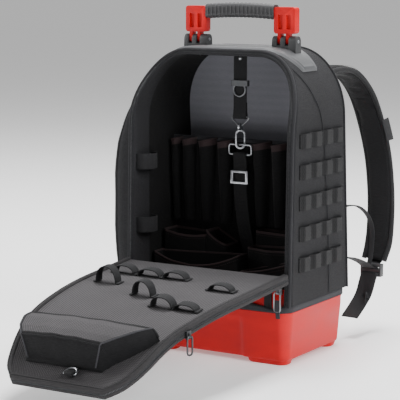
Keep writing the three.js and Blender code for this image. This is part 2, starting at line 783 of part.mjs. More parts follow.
function pocketLoft(wall) {
  const height = POCKET_TOP - POCKET_BOTTOM - 2 * wall;
  const base = -HALF - GAP + (wall > 0 ? 1 : 0);
  const rings = POCKET_PROFILE.map((row) => {
    const z = POCKET_BOTTOM + wall + height * row.up;
    const trim = 30 * (1 - row.bulge);
    const out = POCKET_BULGE * row.bulge - wall + (wall > 0 ? 1 : 0);
    const outline = bulgeOutline(out, POCKET_FRONT + wall + trim, POCKET_BACK - wall - trim, 10);
    return outline.map((p) => vec(base - p.x, p.y, z));
  });
  return loft(rings);
}

function makeSidePocket() {
  add('side_pocket', cut(pocketLoft(0), pocketLoft(POCKET_WALL)), BODY_FABRIC);
}

// Webbing that touches the wall at each bar of stitches and stands off between them
function makeWebbingRow(number) {
  const pitch = (ROW_BACK - ROW_FRONT) / LOOP_COUNT;
  const face = HALF + GAP;
  const outside = [];
  const inside = [];
  for (let loop = 0; loop < LOOP_COUNT; loop += 1) {
    const start = ROW_FRONT + loop * pitch;
    const profile = [[0, 0], [0.08, 0], [0.2, 0.8], [0.5, 1], [0.8, 0.8], [0.92, 0]];
    profile.forEach(([along, rise]) => {
      const y = start + along * pitch;
      const out = face + rise * LOOP_RISE;
      inside.push(new THREE.Vector2(out, y));
      outside.push(new THREE.Vector2(out + WEBBING_THICKNESS, y));
    });
  }
  inside.push(new THREE.Vector2(face, ROW_BACK));
  outside.push(new THREE.Vector2(face + WEBBING_THICKNESS, ROW_BACK));
  const shape = new THREE.Shape([...outside, ...inside.reverse()]);
  const top = ROW_TOP - (number - 1) * ROW_PITCH;
  add(`webbing_row_${number}`, extrudeZ(shape, top - WEBBING_WIDTH, top), WEBBING);
}

function makeBoard() {
  const half = HALF - BODY_WALL - GAP;
  add('tool_board', box(-half, half, BOARD_FRONT, BOARD_FRONT + BOARD_THICKNESS, BOARD_BOTTOM, BOARD_TOP), LINING);
}

function sleeveLoft(sleeve, wall) {
  const back = BOARD_FRONT - GAP - wall;
  const top = SLEEVE_MOUTH + (wall > 0 ? 1 : 0);
  const levels = [[SLEEVE_BOTTOM + wall, SLEEVE_FOOT], [(SLEEVE_BOTTOM + SLEEVE_MOUTH) / 2, 0.85], [top, 1]];
  const rings = levels.map(([z, share]) => {
    const half = (sleeve.width * share) / 2 - wall;
    const out = SLEEVE_DEPTH * share - 2 * wall;
    const tilt = z > SLEEVE_MOUTH - 1 ? SLEEVE_TILT : 0;
    return bulgeOutline(out, sleeve.x - half, sleeve.x + half, 8, 2.4)
      .map((p) => vec(p.y, back - p.x, z + tilt * (p.y - sleeve.x)));
  });
  return loft(rings);
}

function makeSleeveRow(row) {
  const [left, right] = SLEEVE_STRIPS[row];
  const back = BOARD_FRONT - GAP;
  const strip = box(left, right, back - CLOTH, back, SLEEVE_BOTTOM, SLEEVE_MOUTH - 8);
  const sleeves = SLEEVES.filter((sleeve) => sleeve.row === row);
  const outside = join(strip, ...sleeves.map((sleeve) => sleeveLoft(sleeve, 0)));
  add(`tool_sleeves_${row}`, cut(outside, ...sleeves.map((sleeve) => sleeveLoft(sleeve, CLOTH))), LINING);
}

// Block of one pocket between its floor and its mouth, moved in from every side by the inset
function pocketBlock({ x, y, bottom, mouth }, inset) {
  const [left, right] = x;
  const [front, back] = y;
  const [start, middle, end] = mouth;
  const sag = middle - (start + end) / 2;
  const steps = 8;
  return loft(Array.from({ length: steps + 1 }, (_, i) => {
    const at = left + inset + ((right - left - 2 * inset) * i) / steps;
    const share = (at - left) / (right - left);
    const top = start + (end - start) * share + sag * 4 * share * (1 - share) + inset;
    return [
      vec(at, front + inset, bottom + inset),
      vec(at, back - inset, bottom + inset),
      vec(at, back - inset, top),
      vec(at, front + inset, top),
    ];
  }));
}

function makePocket(piece) {
  const parts = POCKETS.filter((pocket) => pocket.piece === piece);
  const outside = join(...parts.map((pocket) => pocketBlock(pocket, 0)));
  add(piece, cut(outside, ...parts.map((pocket) => pocketBlock(pocket, CLOTH))), LINING);
}

// Elastic band that stands off the left inner wall
function makeWallLoop(name, middle) {
  const wall = -HALF + BODY_WALL + GAP;
  const outside = bulgeOutline(24, -92, -44, 12, 2.4).map((p) => new THREE.Vector2(wall + p.x, p.y));
  const inside = bulgeOutline(22, -90, -46, 12, 2.4).map((p) => new THREE.Vector2(wall + p.x, p.y));
  add(name, extrudeZ(new THREE.Shape([...outside, ...inside.reverse()]), middle - 14, middle + 14), WEBBING);
}

// Webbing with a sewn eye at one end, drawn in Y and Z and run along X
function eyeStrap(y, barZ, endZ) {
  const half = WEBBING_THICKNESS / 2;
  const eye = new THREE.Shape();
  eye.absarc(y, barZ, STRAP_LOOP, 0, 2 * Math.PI, false);
  const strip = box(-STRAP_WIDTH / 2, STRAP_WIDTH / 2, y - half, y + half, Math.min(barZ, endZ), Math.max(barZ, endZ));
  const hole = rodX(-STRAP_WIDTH, STRAP_WIDTH, y, barZ, STRAP_HOLE, 12);
  return cut(join(strip, extrudeX(eye, -STRAP_WIDTH / 2, STRAP_WIDTH / 2)), hole);
}

function makeUpperStrap() {
  const ceiling = CROWN_HEIGHT - BODY_WALL - GAP;
  const half = WEBBING_THICKNESS / 2;
  const strap = eyeStrap(STRAP_Y, TRIANGLE_BAR, ceiling);
  const flap = box(-STRAP_WIDTH / 2, STRAP_WIDTH / 2, STRAP_Y - half, STRAP_Y + 20, ceiling - WEBBING_THICKNESS, ceiling);
  add('centre_strap_upper', join(strap, flap), WEBBING);
}

// Slider round the strap, with a round ring below its front bar
function makeDRing() {
  const half = STRAP_WIDTH / 2;
  const frame = cut(
    box(-half - 4, half + 4, STRAP_Y - 5, STRAP_Y + 3.4, SLIDER_TOP - 11, SLIDER_TOP),
    box(-half - 0.6, half + 0.6, STRAP_Y - 1.4, STRAP_Y + 1.4, SLIDER_TOP - 12, SLIDER_TOP + 1),
  );
  const steps = 14;
  const radius = 12;
  const centre = SLIDER_TOP - 11 - 6;
  const loop = Array.from({ length: steps }, (_, i) => {
    const angle = (i * 2 * Math.PI) / steps;
    return vec(radius * Math.cos(angle), STRAP_Y - 3.4, centre + radius * Math.sin(angle));
  });
  add('centre_strap_ring', join(frame, wireLoop(loop, WIRE, vec(0, 1, 0))), STEEL);
}

function makeTriangleRing() {
  const reach = STRAP_WIDTH / 2 + 4;
  const low = TRIANGLE_BAR - 17;
  const corners = [
    [-reach + 2, TRIANGLE_BAR], [reach - 2, TRIANGLE_BAR], [reach, TRIANGLE_BAR - 2.5], [reach - 2, TRIANGLE_BAR - 6],
    [4, low + 1], [1.5, low], [-1.5, low], [-4, low + 1],
    [-reach + 2, TRIANGLE_BAR - 6], [-reach, TRIANGLE_BAR - 2.5],
  ];
  const points = corners.map(([x, z]) => vec(x, STRAP_Y, z));
  add('triangle_ring', wireLoop(points, WIRE, vec(0, 1, 0)), STEEL);
}

// Turns a piece drawn on the strap's middle line about that line
function turnHook(geometry) {
  return geometry.translate(0, -STRAP_Y, 0).rotateZ(HOOK_TURN * DEGREE).translate(0, STRAP_Y, 0);
}

// Long hook: a closed frame with a gate in its right side, below an eye that takes the triangle
function makeSnapHook() {
  const half = HOOK_WIDTH / 2;
  const frameTop = HOOK_TOP - 9.5;
  const near = STRAP_Y - HOOK_THICKNESS / 2;
  const far = STRAP_Y + HOOK_THICKNESS / 2;
  const round = half - 0.5;
  const outline = roundedShape(-half, half, HOOK_BOTTOM, frameTop, round);
  outline.holes.push(new THREE.Path(roundedRectangle(
    -half + HOOK_BAR,
    half - HOOK_BAR,
    HOOK_BOTTOM + HOOK_BAR,
    frameTop - HOOK_BAR,
    round - HOOK_BAR,
  )));
  const slot = box(half - HOOK_BAR - 1.5, half + 1, near - 1, far + 1, GATE_BOTTOM, GATE_TOP);
  const frame = turnHook(cut(extrudeY(outline, near, far), slot));
  const eye = new THREE.Shape();
  const centre = HOOK_TOP - 5;
  eye.absarc(STRAP_Y, centre, HOOK_EYE + 3, 0, 2 * Math.PI, false);
  const hole = rodX(-HOOK_WIDTH, HOOK_WIDTH, STRAP_Y, centre, HOOK_EYE);
  add('snap_hook', cut(join(frame, extrudeX(eye, -2, 2)), hole), STEEL);
  const gate = roundedShape(half - HOOK_BAR, half, GATE_BOTTOM + GAP, GATE_TOP - GAP, 1.4);
  add('snap_gate', turnHook(extrudeY(gate, near, far)), STEEL);
}

function makeWideRing() {
  const points = roundedRectangle(-LOOP_WIDTH / 2, LOOP_WIDTH / 2, LOOP_BOTTOM, LOOP_TOP, 4, 2)
    .map((p) => vec(p.x, STRAP_Y, p.y));
  add('wide_ring', wireLoop(points, WIRE, vec(0, 1, 0)), STEEL);
}

function makeLowerStrap() {
  const eye = eyeStrap(STRAP_Y, LOOP_BOTTOM, LOOP_BOTTOM - 20);
  const run = ribbon([
    vec(0, STRAP_Y, LOOP_BOTTOM - 18),
    vec(0, STRAP_Y, BUCKLE_TOP - BUCKLE_HEIGHT - 10),
    vec(6, STRAP_Y + 1, STRAP_END + 80),
    vec(10, STRAP_Y + 8, STRAP_END + 40),
    vec(10, BOARD_FRONT - 4, STRAP_END + 15),
    vec(10, BOARD_FRONT - GAP - 1, STRAP_END),
  ], STRAP_WIDTH, WEBBING_THICKNESS);
  add('centre_strap_lower', join(eye, run), WEBBING);
}

function makeSlider() {
  const half = STRAP_WIDTH / 2;
  const low = BUCKLE_TOP - BUCKLE_HEIGHT;
  const frame = cut(
    box(-half - 4.5, half + 4.5, STRAP_Y - 4.6, STRAP_Y + 3.4, low, BUCKLE_TOP),
    box(-half - 0.8, half + 0.8, STRAP_Y - 1.6, STRAP_Y + 1.6, low - 1, BUCKLE_TOP + 1),
    box(-half + 1, half - 1, STRAP_Y - 6, STRAP_Y, low + 4, BUCKLE_TOP - 4),
  );
  add('centre_strap_slider', frame, STEEL);
}

// Round-headed rivet under the roof of the body
function makeRivet(name, x, y) {
  const profile = [[0, 0], [3.4, 0.6], [5.5, 2.2], [5.5, 3.4], [0, 3.4]].map(([r, z]) => new THREE.Vector2(r, z));
  const rise = (Math.abs(x) + 6 - (HALF - SHOULDER_WIDTH)) / (SHOULDER_WIDTH - BODY_WALL);
  const ceiling = CROWN_HEIGHT - SHOULDER_HEIGHT + (SHOULDER_HEIGHT - BODY_WALL) * Math.sqrt(1 - rise * rise);
  const geometry = new THREE.LatheGeometry(profile, 16).rotateX(Math.PI / 2);
  add(name, geometry.translate(x, y, ceiling - 3.4 - GAP), STEEL);
}

// Spine of the lid, from its hinge to its free end
const LID_SPINE = [{ y: LID_START, z: LID_HEIGHT, angle: LID_DROOP[0].slope * DEGREE }];
const SPINE_STEPS = 240;
for (let i = 1; i <= SPINE_STEPS; i += 1) {
  const last = LID_SPINE[i - 1];
  const step = LID_LENGTH / SPINE_STEPS;
  const angle = tableAt(LID_DROOP, 'along', 'slope', i / SPINE_STEPS) * DEGREE;
  LID_SPINE.push({ y: last.y - step * Math.cos(angle), z: last.z - step * Math.sin(angle), angle });
}

// Point of the lid: share of its length, side, and height over its upper face
function lidPoint(along, x, height) {
  const at = LID_SPINE[Math.round(Math.min(Math.max(along, 0), 1) * SPINE_STEPS)];
  return vec(x, at.y - height * Math.sin(at.angle), at.z + height * Math.cos(at.angle));
}

function lidHalfWidth(along) {
  return HALF * tableAt(LID_OUTLINE, 'along', 'width', along);
}

const LID_STATIONS = [0, 0.1, 0.2, 0.32, 0.42, 0.5, 0.58, 0.64, 0.7, 0.76, 0.8, 0.84, 0.88, 0.92, 0.95, 0.97];

function makeLidPanel() {
  const inner = LID_RIM_WIDTH + GAP;
  const end = 1 - inner / LID_LENGTH;
  const rings = [...LID_STATIONS, end].filter((s) => s <= end).map((along) => {
    const w = lidHalfWidth(along) - inner;
    const top = -LID_PANEL_SINK;
    const bottom = top - LID_PANEL_THICKNESS;
    return [
      lidPoint(along, -w, bottom),
      lidPoint(along, w, bottom),
      lidPoint(along, w, top),
      lidPoint(along, -w, top),
    ];
  });
  add('lid_panel', loft(rings), LID_FABRIC);
}

function makeLidRim() {
  const path = [];
  const innerEnd = 1 - LID_RIM_WIDTH / LID_LENGTH;
  const tip = lidHalfWidth(1);
  const corner = lidHalfWidth(innerEnd) - LID_RIM_WIDTH + 1.5;
  LID_STATIONS.forEach((along) => {
    path.push({ x: lidHalfWidth(along), along, innerX: lidHalfWidth(along) - LID_RIM_WIDTH });
  });
  path.push({ x: lidHalfWidth(0.985), along: 0.985, innerX: corner });
  [1, 0.6, 0.2].forEach((share) => {
    path.push({ x: tip * share, along: 1, innerX: (corner - 1) * share });
  });
  const left = path.slice().reverse().map((p) => ({ ...p, x: -p.x, innerX: -p.innerX }));
  const rings = [...path, ...left].map((p) => {
    const inner = Math.min(p.along, innerEnd);
    return [
      lidPoint(p.along, p.x, -1.5),
      lidPoint(p.along, p.x, 1.5 - LID_RIM_THICKNESS),
      lidPoint(inner, p.innerX, -LID_RIM_THICKNESS),
      lidPoint(inner, p.innerX, 0),
    ];
  });
  add('lid_rim', loft(rings), BODY_FABRIC);
}

// Strip that joins the lid to the inside of the tub's upstand
function makeLidHinge() {
  const inside = TUB_FRONT + UPSTAND_INSET + TUB_WALL + GAP + 1.5;
  const half = TUB_WIDTH / 2 - TUB_CORNER - 2;
  const strip = ribbon([
    vec(0, inside, TUB_HEIGHT + 14),
    vec(0, inside, TUB_HEIGHT + UPSTAND_HEIGHT + 8),
    vec(0, inside - 4, LID_HEIGHT - 12),
    vec(0, LID_START + 2, LID_HEIGHT - 10),
  ], 2 * half, 2.4);
  add('lid_hinge', strip, LID_FABRIC);
}

// The mouth of the bellows pocket faces the hinge: the hollow runs out through it
function bellowsLoft(wall) {
  const share = wall / LID_LENGTH;
  return loft(BELLOWS.map((row, i) => {
    const along = row.along - (i === 0 || i === BELLOWS.length - 1 ? share : 0);
    const low = wall - LID_PANEL_SINK + GAP;
    const top = row.height - LID_PANEL_SINK - wall;
    const [left, right] = [row.left + wall, row.right - wall];
    return [
      lidPoint(along, left, low),
      lidPoint(along, right, low),
      lidPoint(along, right - BELLOWS_CREST, top),
      lidPoint(along, left + BELLOWS_CREST, top),
    ];
  }));
}

function makeBellows() {
  add('lid_bellows_pocket', cut(bellowsLoft(0), bellowsLoft(CLOTH)), LID_FABRIC);
}

// Band of elastic that lies on the lid between its arches
function makeLidBand({ name, along, arches }) {
  const base = -LID_PANEL_SINK + GAP;
  const first = arches[0];
  const last = arches[arches.length - 1];
  const start = first.x - first.width / 2 - 5;
  const end = last.x + last.width / 2 + 5;
  const above = [new THREE.Vector2(start, CLOTH)];
  const below = [new THREE.Vector2(start, 0)];
  arches.forEach(({ x, width, rise }) => {
    const half = width / 2;
    bulgeOutline(rise, x - half, x + half, 8, 2.3)
      .forEach((p) => above.push(new THREE.Vector2(p.y, Math.max(p.x, CLOTH))));
    bulgeOutline(rise - CLOTH, x - half + CLOTH, x + half - CLOTH, 8, 2.3)
      .forEach((p) => below.push(new THREE.Vector2(p.y, p.x)));
  });
  above.push(new THREE.Vector2(end, CLOTH));
  below.push(new THREE.Vector2(end, 0));
  const outline = [...above, ...below.reverse()];
  const ends = [along, along + LID_BAND_WIDTH].map((at) => at / LID_LENGTH);
  add(name, loft(ends.map((at) => outline.map((p) => lidPoint(at, p.x, base + p.y)))), WEBBING);
}

// Piece drawn flat, with -Y along the lid and Z out of it, set on the lid at a place along it
function onLid(geometry, along) {
  const base = lidPoint(along, 0, -LID_PANEL_SINK + GAP);
  const { angle } = LID_SPINE[Math.round(along * SPINE_STEPS)];
  return geometry.clone().rotateX(angle).translate(base.x, base.y, base.z);
}

// Sewn tab by the lid's free end, and the ring in its fold, which lies towards the pocket
function makeLidTab() {
  const bar = 6;
  const reach = 11;
  const bow = Array.from({ length: 9 }, (_, i) => {
    const angle = ((180 * i) / 8) * DEGREE;
    return vec(LID_TAB_X + reach * Math.cos(angle), 3 + reach * Math.sin(angle), bar);
  });
  const ring = [vec(LID_TAB_X - reach, 0, bar), vec(LID_TAB_X + reach, 0, bar), ...bow];
  add('lid_ring', onLid(wireLoop(ring, WIRE, vec(0, 0, 1)), LID_TAB_ALONG), STEEL);
  const tab = new THREE.Shape();
  tab.moveTo(0, 0);
  tab.lineTo(0, bar - 3.6);
  tab.absarc(0, bar, 3.6, -Math.PI / 2, Math.PI / 2, false);
  tab.lineTo(-11, 3);
  tab.lineTo(-11, 0);
  const hole = rodX(LID_TAB_X - 20, LID_TAB_X + 20, 0, bar, WIRE + 0.6, 12);
  const body = cut(extrudeX(tab, LID_TAB_X - 8, LID_TAB_X + 8), hole);
  add('lid_tab', onLid(body, LID_TAB_ALONG), WEBBING);
}

// Zip slider with a wire pull that hangs from its bridge; at turn 0 it faces the front
function makeZipSlider(name, at, turn, reach, drop) {
  const slider = box(-5, 5, -4, 0, -13, 0);
  const bridge = box(-2, 2, -reach - 1, -3, -11, -3);
  const points = roundedRectangle(-6, 6, -8 - drop, -8, 4, 2).map((p) => vec(p.x, -reach, p.y));
  const piece = join(slider, bridge, wireLoop(points, WIRE, vec(0, 1, 0)));
  add(name, piece.rotateZ(turn * DEGREE).translate(at.x, at.y, at.z), STEEL);
}

// Padded strap along its middle line, wider than thick, with rounded edges
function strapPoints(line, mirror) {
  const curve = new THREE.CatmullRomCurve3(line.map(([x, y, z]) => vec(mirror * x, y, z)), false, 'centripetal');
  return curve.getPoints(line.length * 2);
}

function makeShoulderStrap(name, mirror) {
  const points = strapPoints(STRAP_LINE, mirror);
  const section = roundedRectangle(
    -SHOULDER_STRAP_WIDTH / 2,
    SHOULDER_STRAP_WIDTH / 2,
    -SHOULDER_STRAP_THICKNESS / 2,
    SHOULDER_STRAP_THICKNESS / 2,
    5,
    1,
  );
  const rings = points.map((p, i) => {
    const before = points[Math.max(i - 1, 0)];
    const after = points[Math.min(i + 1, points.length - 1)];
    const tangent = new THREE.Vector3().subVectors(after, before).normalize();
    const side = vec(1, 0, 0).addScaledVector(tangent, -tangent.x).normalize();
    const up = new THREE.Vector3().crossVectors(tangent, side).normalize();
    return section.map((q) => p.clone().addScaledVector(side, q.x).addScaledVector(up, q.y));
  });
  add(`shoulder_strap_${name}`, loft(rings), BODY_FABRIC);
}

function makeStrapEnd(name, mirror) {
  const line = (points) => strapPoints(points, mirror);
  const lower = ribbon(line(LOWER_LINE), WEBBING_WIDTH, WEBBING_THICKNESS);
  const thin = ribbon(line(THIN_LINE), 9, 2);
  add(`strap_webbing_${name}`, join(lower, thin), WEBBING);
  add(`strap_tail_${name}`, ribbon(line(TAIL_LINE), TAIL_WIDTH, 2.4), WEBBING);
  const { width, depth, height, y, z } = LADDER;
  const x = mirror * LADDER.x;
  const front = y - depth / 2;
  const slots = [-LADDER_REACH, LADDER_REACH].map((offset) => box(
    x - TAIL_WIDTH / 2 - 0.6,
    x + TAIL_WIDTH / 2 + 0.6,
    front - 1,
    front + depth + 1,
    z + offset - LADDER_SLOT / 2,
    z + offset + LADDER_SLOT / 2,
  ));
  const frame = box(x - width / 2, x + width / 2, front, front + depth, z - height / 2, z + height / 2);
  add(`strap_buckle_${name}`, cut(frame, ...slots), BLACK_PLASTIC);
}

makeTub();
makeBinding();
makeBodyWall();
makeRim();
makeBackPanel();
makeTopPlate();
makeBracket('left', -HANDLE_SPREAD);
makeBracket('right', HANDLE_SPREAD);
makeHandleEnd('left', -HANDLE_SPREAD);
makeHandleEnd('right', HANDLE_SPREAD);
makeGrip();
makeSidePocket();
for (let number = 1; number <= ROW_COUNT; number += 1) {
  makeWebbingRow(number);
}
makeBoard();
makeSleeveRow('left');
makeSleeveRow('right');
makePocket('middle_pocket');
makePocket('low_pocket');
makePocket('step_pocket');
makeWallLoop('wall_loop_upper', WALL_LOOPS.upper);
makeWallLoop('wall_loop_lower', WALL_LOOPS.lower);
makeUpperStrap();
makeDRing();
makeTriangleRing();
makeSnapHook();
makeWideRing();
makeLowerStrap();
makeSlider();
makeLidPanel();
makeLidRim();
makeLidHinge();
makeBellows();
LID_BANDS.forEach(makeLidBand);
makeLidTab();
makeRivet('ceiling_rivet_left', -HANDLE_SPREAD, 20);
makeRivet('ceiling_rivet_right', HANDLE_SPREAD, 20);
makeZipSlider('frame_zip_slider', vec(146, TUB_FRONT + UPSTAND_INSET - GAP, 134), 0, 10.4, 34);
makeZipSlider('lid_zip_slider', lidPoint(LID_ZIP_ALONG, lidHalfWidth(LID_ZIP_ALONG) + GAP, -7), 82, 5.5, 30);
makeShoulderStrap('right', 1);
makeShoulderStrap('left', -1);
makeStrapEnd('right', 1);
makeStrapEnd('left', -1);

const bounds = new THREE.Box3().setFromObject(group);
const middle = bounds.getCenter(vec(0, 0, 0));
group.position.set(-middle.x, -middle.y, -bounds.min.z);

export default group;
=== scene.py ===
"""Looks of a tool backpack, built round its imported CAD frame.

Sizes in the code are millimetres about the middle of the body; at() turns them into metres in
the frame. The operators run in order in main(), the stage first.
"""

from math import cos, pi, radians, sin, sqrt

import bmesh
import bpy
from bpy.props import FloatProperty, FloatVectorProperty, IntProperty, PointerProperty
from bpy.types import Operator, Panel, PropertyGroup
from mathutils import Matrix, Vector


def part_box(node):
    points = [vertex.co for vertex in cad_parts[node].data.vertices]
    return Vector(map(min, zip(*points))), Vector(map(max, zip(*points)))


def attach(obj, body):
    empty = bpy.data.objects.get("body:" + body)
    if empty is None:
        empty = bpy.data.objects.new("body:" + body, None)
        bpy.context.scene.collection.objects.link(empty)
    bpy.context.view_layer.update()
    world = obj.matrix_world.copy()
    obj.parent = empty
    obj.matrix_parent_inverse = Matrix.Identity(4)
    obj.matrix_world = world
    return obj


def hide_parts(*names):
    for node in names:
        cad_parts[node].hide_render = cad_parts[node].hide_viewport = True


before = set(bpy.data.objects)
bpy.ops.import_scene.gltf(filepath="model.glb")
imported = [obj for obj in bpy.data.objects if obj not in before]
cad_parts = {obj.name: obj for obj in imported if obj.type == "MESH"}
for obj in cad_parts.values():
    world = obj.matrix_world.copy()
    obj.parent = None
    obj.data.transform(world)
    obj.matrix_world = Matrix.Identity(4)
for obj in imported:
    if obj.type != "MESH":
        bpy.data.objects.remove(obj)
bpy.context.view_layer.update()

bl_info = {
    "name": "Tool backpack",
    "version": (1, 0, 0),
    "blender": (4, 5, 0),
    "location": "3D View > Sidebar > Backpack",
    "description": "Dresses the CAD frame of a tool backpack",
    "category": "Object",
}

SWELL_FRAMES = 20

# Camera found from the photo: millimetres of the drawing, degrees, and millimetres of lens and sensor
CAMERA_PLACE, CAMERA_TURN = (1481.0, -2532.4, 687.8), (81.71, 0, 31.64)
CAMERA_LENS, CAMERA_SENSOR = 148.06, 36

# Stage in metres. Each light: its place, its size, the setting for its power and the share it takes
FLOOR_REACH, PAPER_GLOW, ROOM_LIGHT, ROOM_SEEN = 60.0, 0.28, 0.28, 1.6
LIGHT_TARGET_HEIGHT = 260
LIGHTS = {
    "key": ((2.7, -0.6, 1.9), 1.6, "key_light", 1.0),
    "fill": ((-1.4, -2.6, 1.5), 1.8, "fill_light", 0.2),
    "side": ((-3.0, -0.8, 1.6), 1.6, "fill_light", 3.6),
    "rim": ((-0.6, 2.2, 2.2), 1.4, "fill_light", 1.1),
    "top": ((0.0, 0.6, 3.0), 1.2, "fill_light", 7.0),
}

# Place of the drawing's origin in the frame, from the tub
TUB_LOW, TUB_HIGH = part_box("base_tub")
TUB_MIDDLE_Y, FOOT_DROP = 0.001, 0.0065
SHIFT = Vector((
    (TUB_LOW.x + TUB_HIGH.x) / 2,
    (TUB_LOW.y + TUB_HIGH.y) / 2 - TUB_MIDDLE_Y,
    TUB_LOW.z + FOOT_DROP,
))

# Tub
TUB_WIDTH, TUB_DEPTH, TUB_FRONT, TUB_CORNER = 328, 222, -110, 24
TUB_BACK = TUB_FRONT + TUB_DEPTH
UPSTAND_INSET = 6.3
FOOT = {
    "width": 86, "depth": 44, "inset": 7,
    "levels": [(7.5, -6.5), (6, -6.2), (4.8, -5), (3.4, 1), (3, 3.4)],
}
RECESS_HALF, RECESS_DEPTH = 66, 5

# Looped webbing, and how far a sewn piece stands off the cloth
WEBBING_WIDTH, ROW_PITCH, ROW_COUNT, SKIN_GAP = 25, 53.5, 5, 0.4

# Body
HALF, CROWN, SHOULDER_WIDTH, SHOULDER_HEIGHT = 166, 533, 92, 115
WALL, BASE, SHOULDER_Z = 8, 100.6, 418
FRONT_LEAN = [(0, 0), (0.69, 7.15), (0.76, 12.65), (0.83, 25.3), (0.9, 41.25), (0.96, 51.7), (1, 55)]
BACK_LEAN = 28
RIM_DEPTH = 7
SIDE_SEAM = [(-49, 503), (-20, 462), (6, 409), (24, 300), (34, 200), (39, 103)]

# Handle
HANDLE_SPREAD, HANDLE_Y, END_WIDTH = 91, 12.5, 42
GRIP_CENTRE, GRIP_ARCH, GRIP_DEPTH, GRIP_HEIGHT = 598, 2.5, 24, 27

# Side pocket: share of its height, share of its bulge
POCKET_PROFILE = [
    (0, 0.3), (0.03, 0.68), (0.1, 0.93), (0.3, 1), (0.6, 0.98),
    (0.76, 0.87), (0.88, 0.62), (0.96, 0.36), (1, 0.14),
]

# Inside: sleeves as middle and width, pockets as sides, front, back, bottom and mouth heights
BOARD_FRONT = 34
SLEEVES = [(-146, 18), (-119, 25), (-80, 32), (-40, 34), (34, 34), (72, 33), (110, 33)]
POCKETS = {
    "middle_pocket": [
        (-151, -60, -12, 33.7, 104, (197, 189, 193)),
        (-60, -16, -12, 33.7, 104, (202, 186, 178)),
    ],
    "low_pocket": [(-151, 30, -46, -12.6, 110, (160, 143, 168))],
    "step_pocket": [
        (34, 151, 5, 33.7, 104, (206, 204, 206)),
        (34, 151, -23, 5, 106, (180, 178, 184)),
        (34, 151, -50, -23, 110, (140, 150, 170)),
    ],
}
STRAP_Y, STRAP_WIDTH = 9, 27

# Lid
LID_LENGTH, LID_START, LID_HEIGHT = 466, -112, 158.4
LID_OUTLINE = [
    (0, 1), (0.3, 0.983), (0.45, 0.95), (0.61, 0.903), (0.76, 0.833), (0.84, 0.785),
    (0.91, 0.72), (0.96, 0.65), (0.985, 0.59), (1, 0.49),
]
LID_DROOP = [(0, 4.7), (0.32, 4.7), (0.64, 13.2), (0.815, 35.6), (1, 28.2)]
LID_SINK, LID_RIM = 4, 10

# Section of the lid's rim: inset from the edge and height; the dips hold the zip and a line of stitches
LID_RIM_SECTION = [
    (0, -3), (0.3, -1.8), (1, -0.9), (2.2, -0.2), (3.2, 0), (3.8, -0.9), (4.6, -0.9), (5.2, 0), (8.4, 0),
    (9.4, -0.5), (10, -1.6), (10, -17), (9.2, -18), (1.4, -18), (0.4, -17.2), (0, -15.5), (0, -11.6),
    (0.9, -11.2), (0.9, -7.4), (0, -7),
]
BELLOWS = [
    (0.735, 24, -124, 124), (0.78, 36, -119, 114), (0.83, 44, -108, 94),
    (0.872, 46, -94, 74), (0.912, 9, -84, 62),
]
LID_BANDS = {
    "lid_band_hinge": (76, [(-110, 44, 16), (-58, 46, 14), (-6, 46, 14)]),
    "lid_band_torch": (138, [(-104, 42, 30)]),
    "lid_band_edge": (112, [(106, 44, 13)]),
    "lid_band_driver": (182, [(-2, 38, 27)]),
    "lid_band_rule": (222, [(62, 42, 20), (106, 42, 12)]),
}
LID_TAB_ALONG, LID_TAB_X = 0.95, 14

# Right shoulder strap and the webbing at its end; the left one is its mirror
STRAP_LINE = [
    (98, 105.1, 484), (103, 150, 491), (109, 200, 485), (114, 232, 466), (121, 259, 434),
    (132, 277, 378), (143, 282, 322), (150, 281, 266), (154, 276, 220), (156, 264, 160), (154, 249, 128),
]
TAIL_LINE = [
    (154, 245, 105), (154, 238, 105), (154, 231, 104.5), (153, 226, 96),
    (151, 212, 68), (150, 188, 50), (149, 158, 33),
]
LOWER_LINE = [
    (148, 123.7, 152), (150, 160, 144), (152, 205, 128), (153, 228, 116), (154, 236, 115), (154, 245, 115),
]
THIN_LINE = [
    (148, 117.8, 243), (149, 150, 243), (150, 188, 236), (151, 226, 214),
    (152, 242, 188), (152, 242, 158), (153, 235, 134), (153, 226, 116),
]
STRAP_SIZE = (56, 14)
TAIL_WIDTH = 34
PULL_KNOT = [
    (160, 205, 68), (163, 198, 74), (165, 192, 66), (164, 190, 52),
    (161, 192, 47), (160, 197, 54), (160, 204, 64),
]
PULL_END = [(158, 207, 72), (161, 205, 66), (162, 203, 62)]

# Places across the front where the binding dips and shows the tub's upstand
WINDOWS = ((95, 115), (129, 152))

# Lines of stitches and rows of zip teeth gathered while the pieces are made
SEAMS = {"thread_dark": [], "thread_brown": [], "zip_teeth": []}


def srgb(red, green, blue):
    """Linear colour from the 0 to 255 values of a colour picker."""
    return tuple(((c / 255 + 0.055) / 1.055) ** 2.4 if c > 10 else c / 3295 for c in (red, green, blue))


def colour_property(name, description, default):
    return FloatVectorProperty(
        name=name, description=description, default=srgb(*default), subtype="COLOR", size=3, min=0, max=1
    )


def length_property(name, description, default):
    return FloatProperty(
        name=name, description=description, default=default, min=0, subtype="DISTANCE", unit="LENGTH"
    )


def power_property(name, description, default):
    return FloatProperty(name=name, description=description, default=default, min=0, subtype="POWER")


class BackpackColours(PropertyGroup):
    """Colours of the backpack's cloths, plastics and metal."""

    red: colour_property("Tub red", "Moulded tub and handle ends", (198, 5, 13))
    grey: colour_property("Plate grey", "Moulded plate over the top", (76, 77, 79))
    black: colour_property("Plastic black", "Grip, brackets and buckles", (54, 54, 56))
    body: colour_property("Body cloth", "Heavy cloth of the body and straps", (36, 36, 39))
    lid: colour_property("Lid cloth", "Ribbed cloth inside the lid", (66, 64, 66))
    lining: colour_property("Lining", "Cloth inside the body", (25, 25, 27))
    webbing: colour_property("Webbing", "Flat webbing and elastic", (27, 27, 29))
    binding: colour_property("Pocket binding", "Tape sewn over the mouths of the inner pockets", (46, 34, 35))
    steel: colour_property("Steel", "Rings, hook and zip sliders", (172, 174, 178))


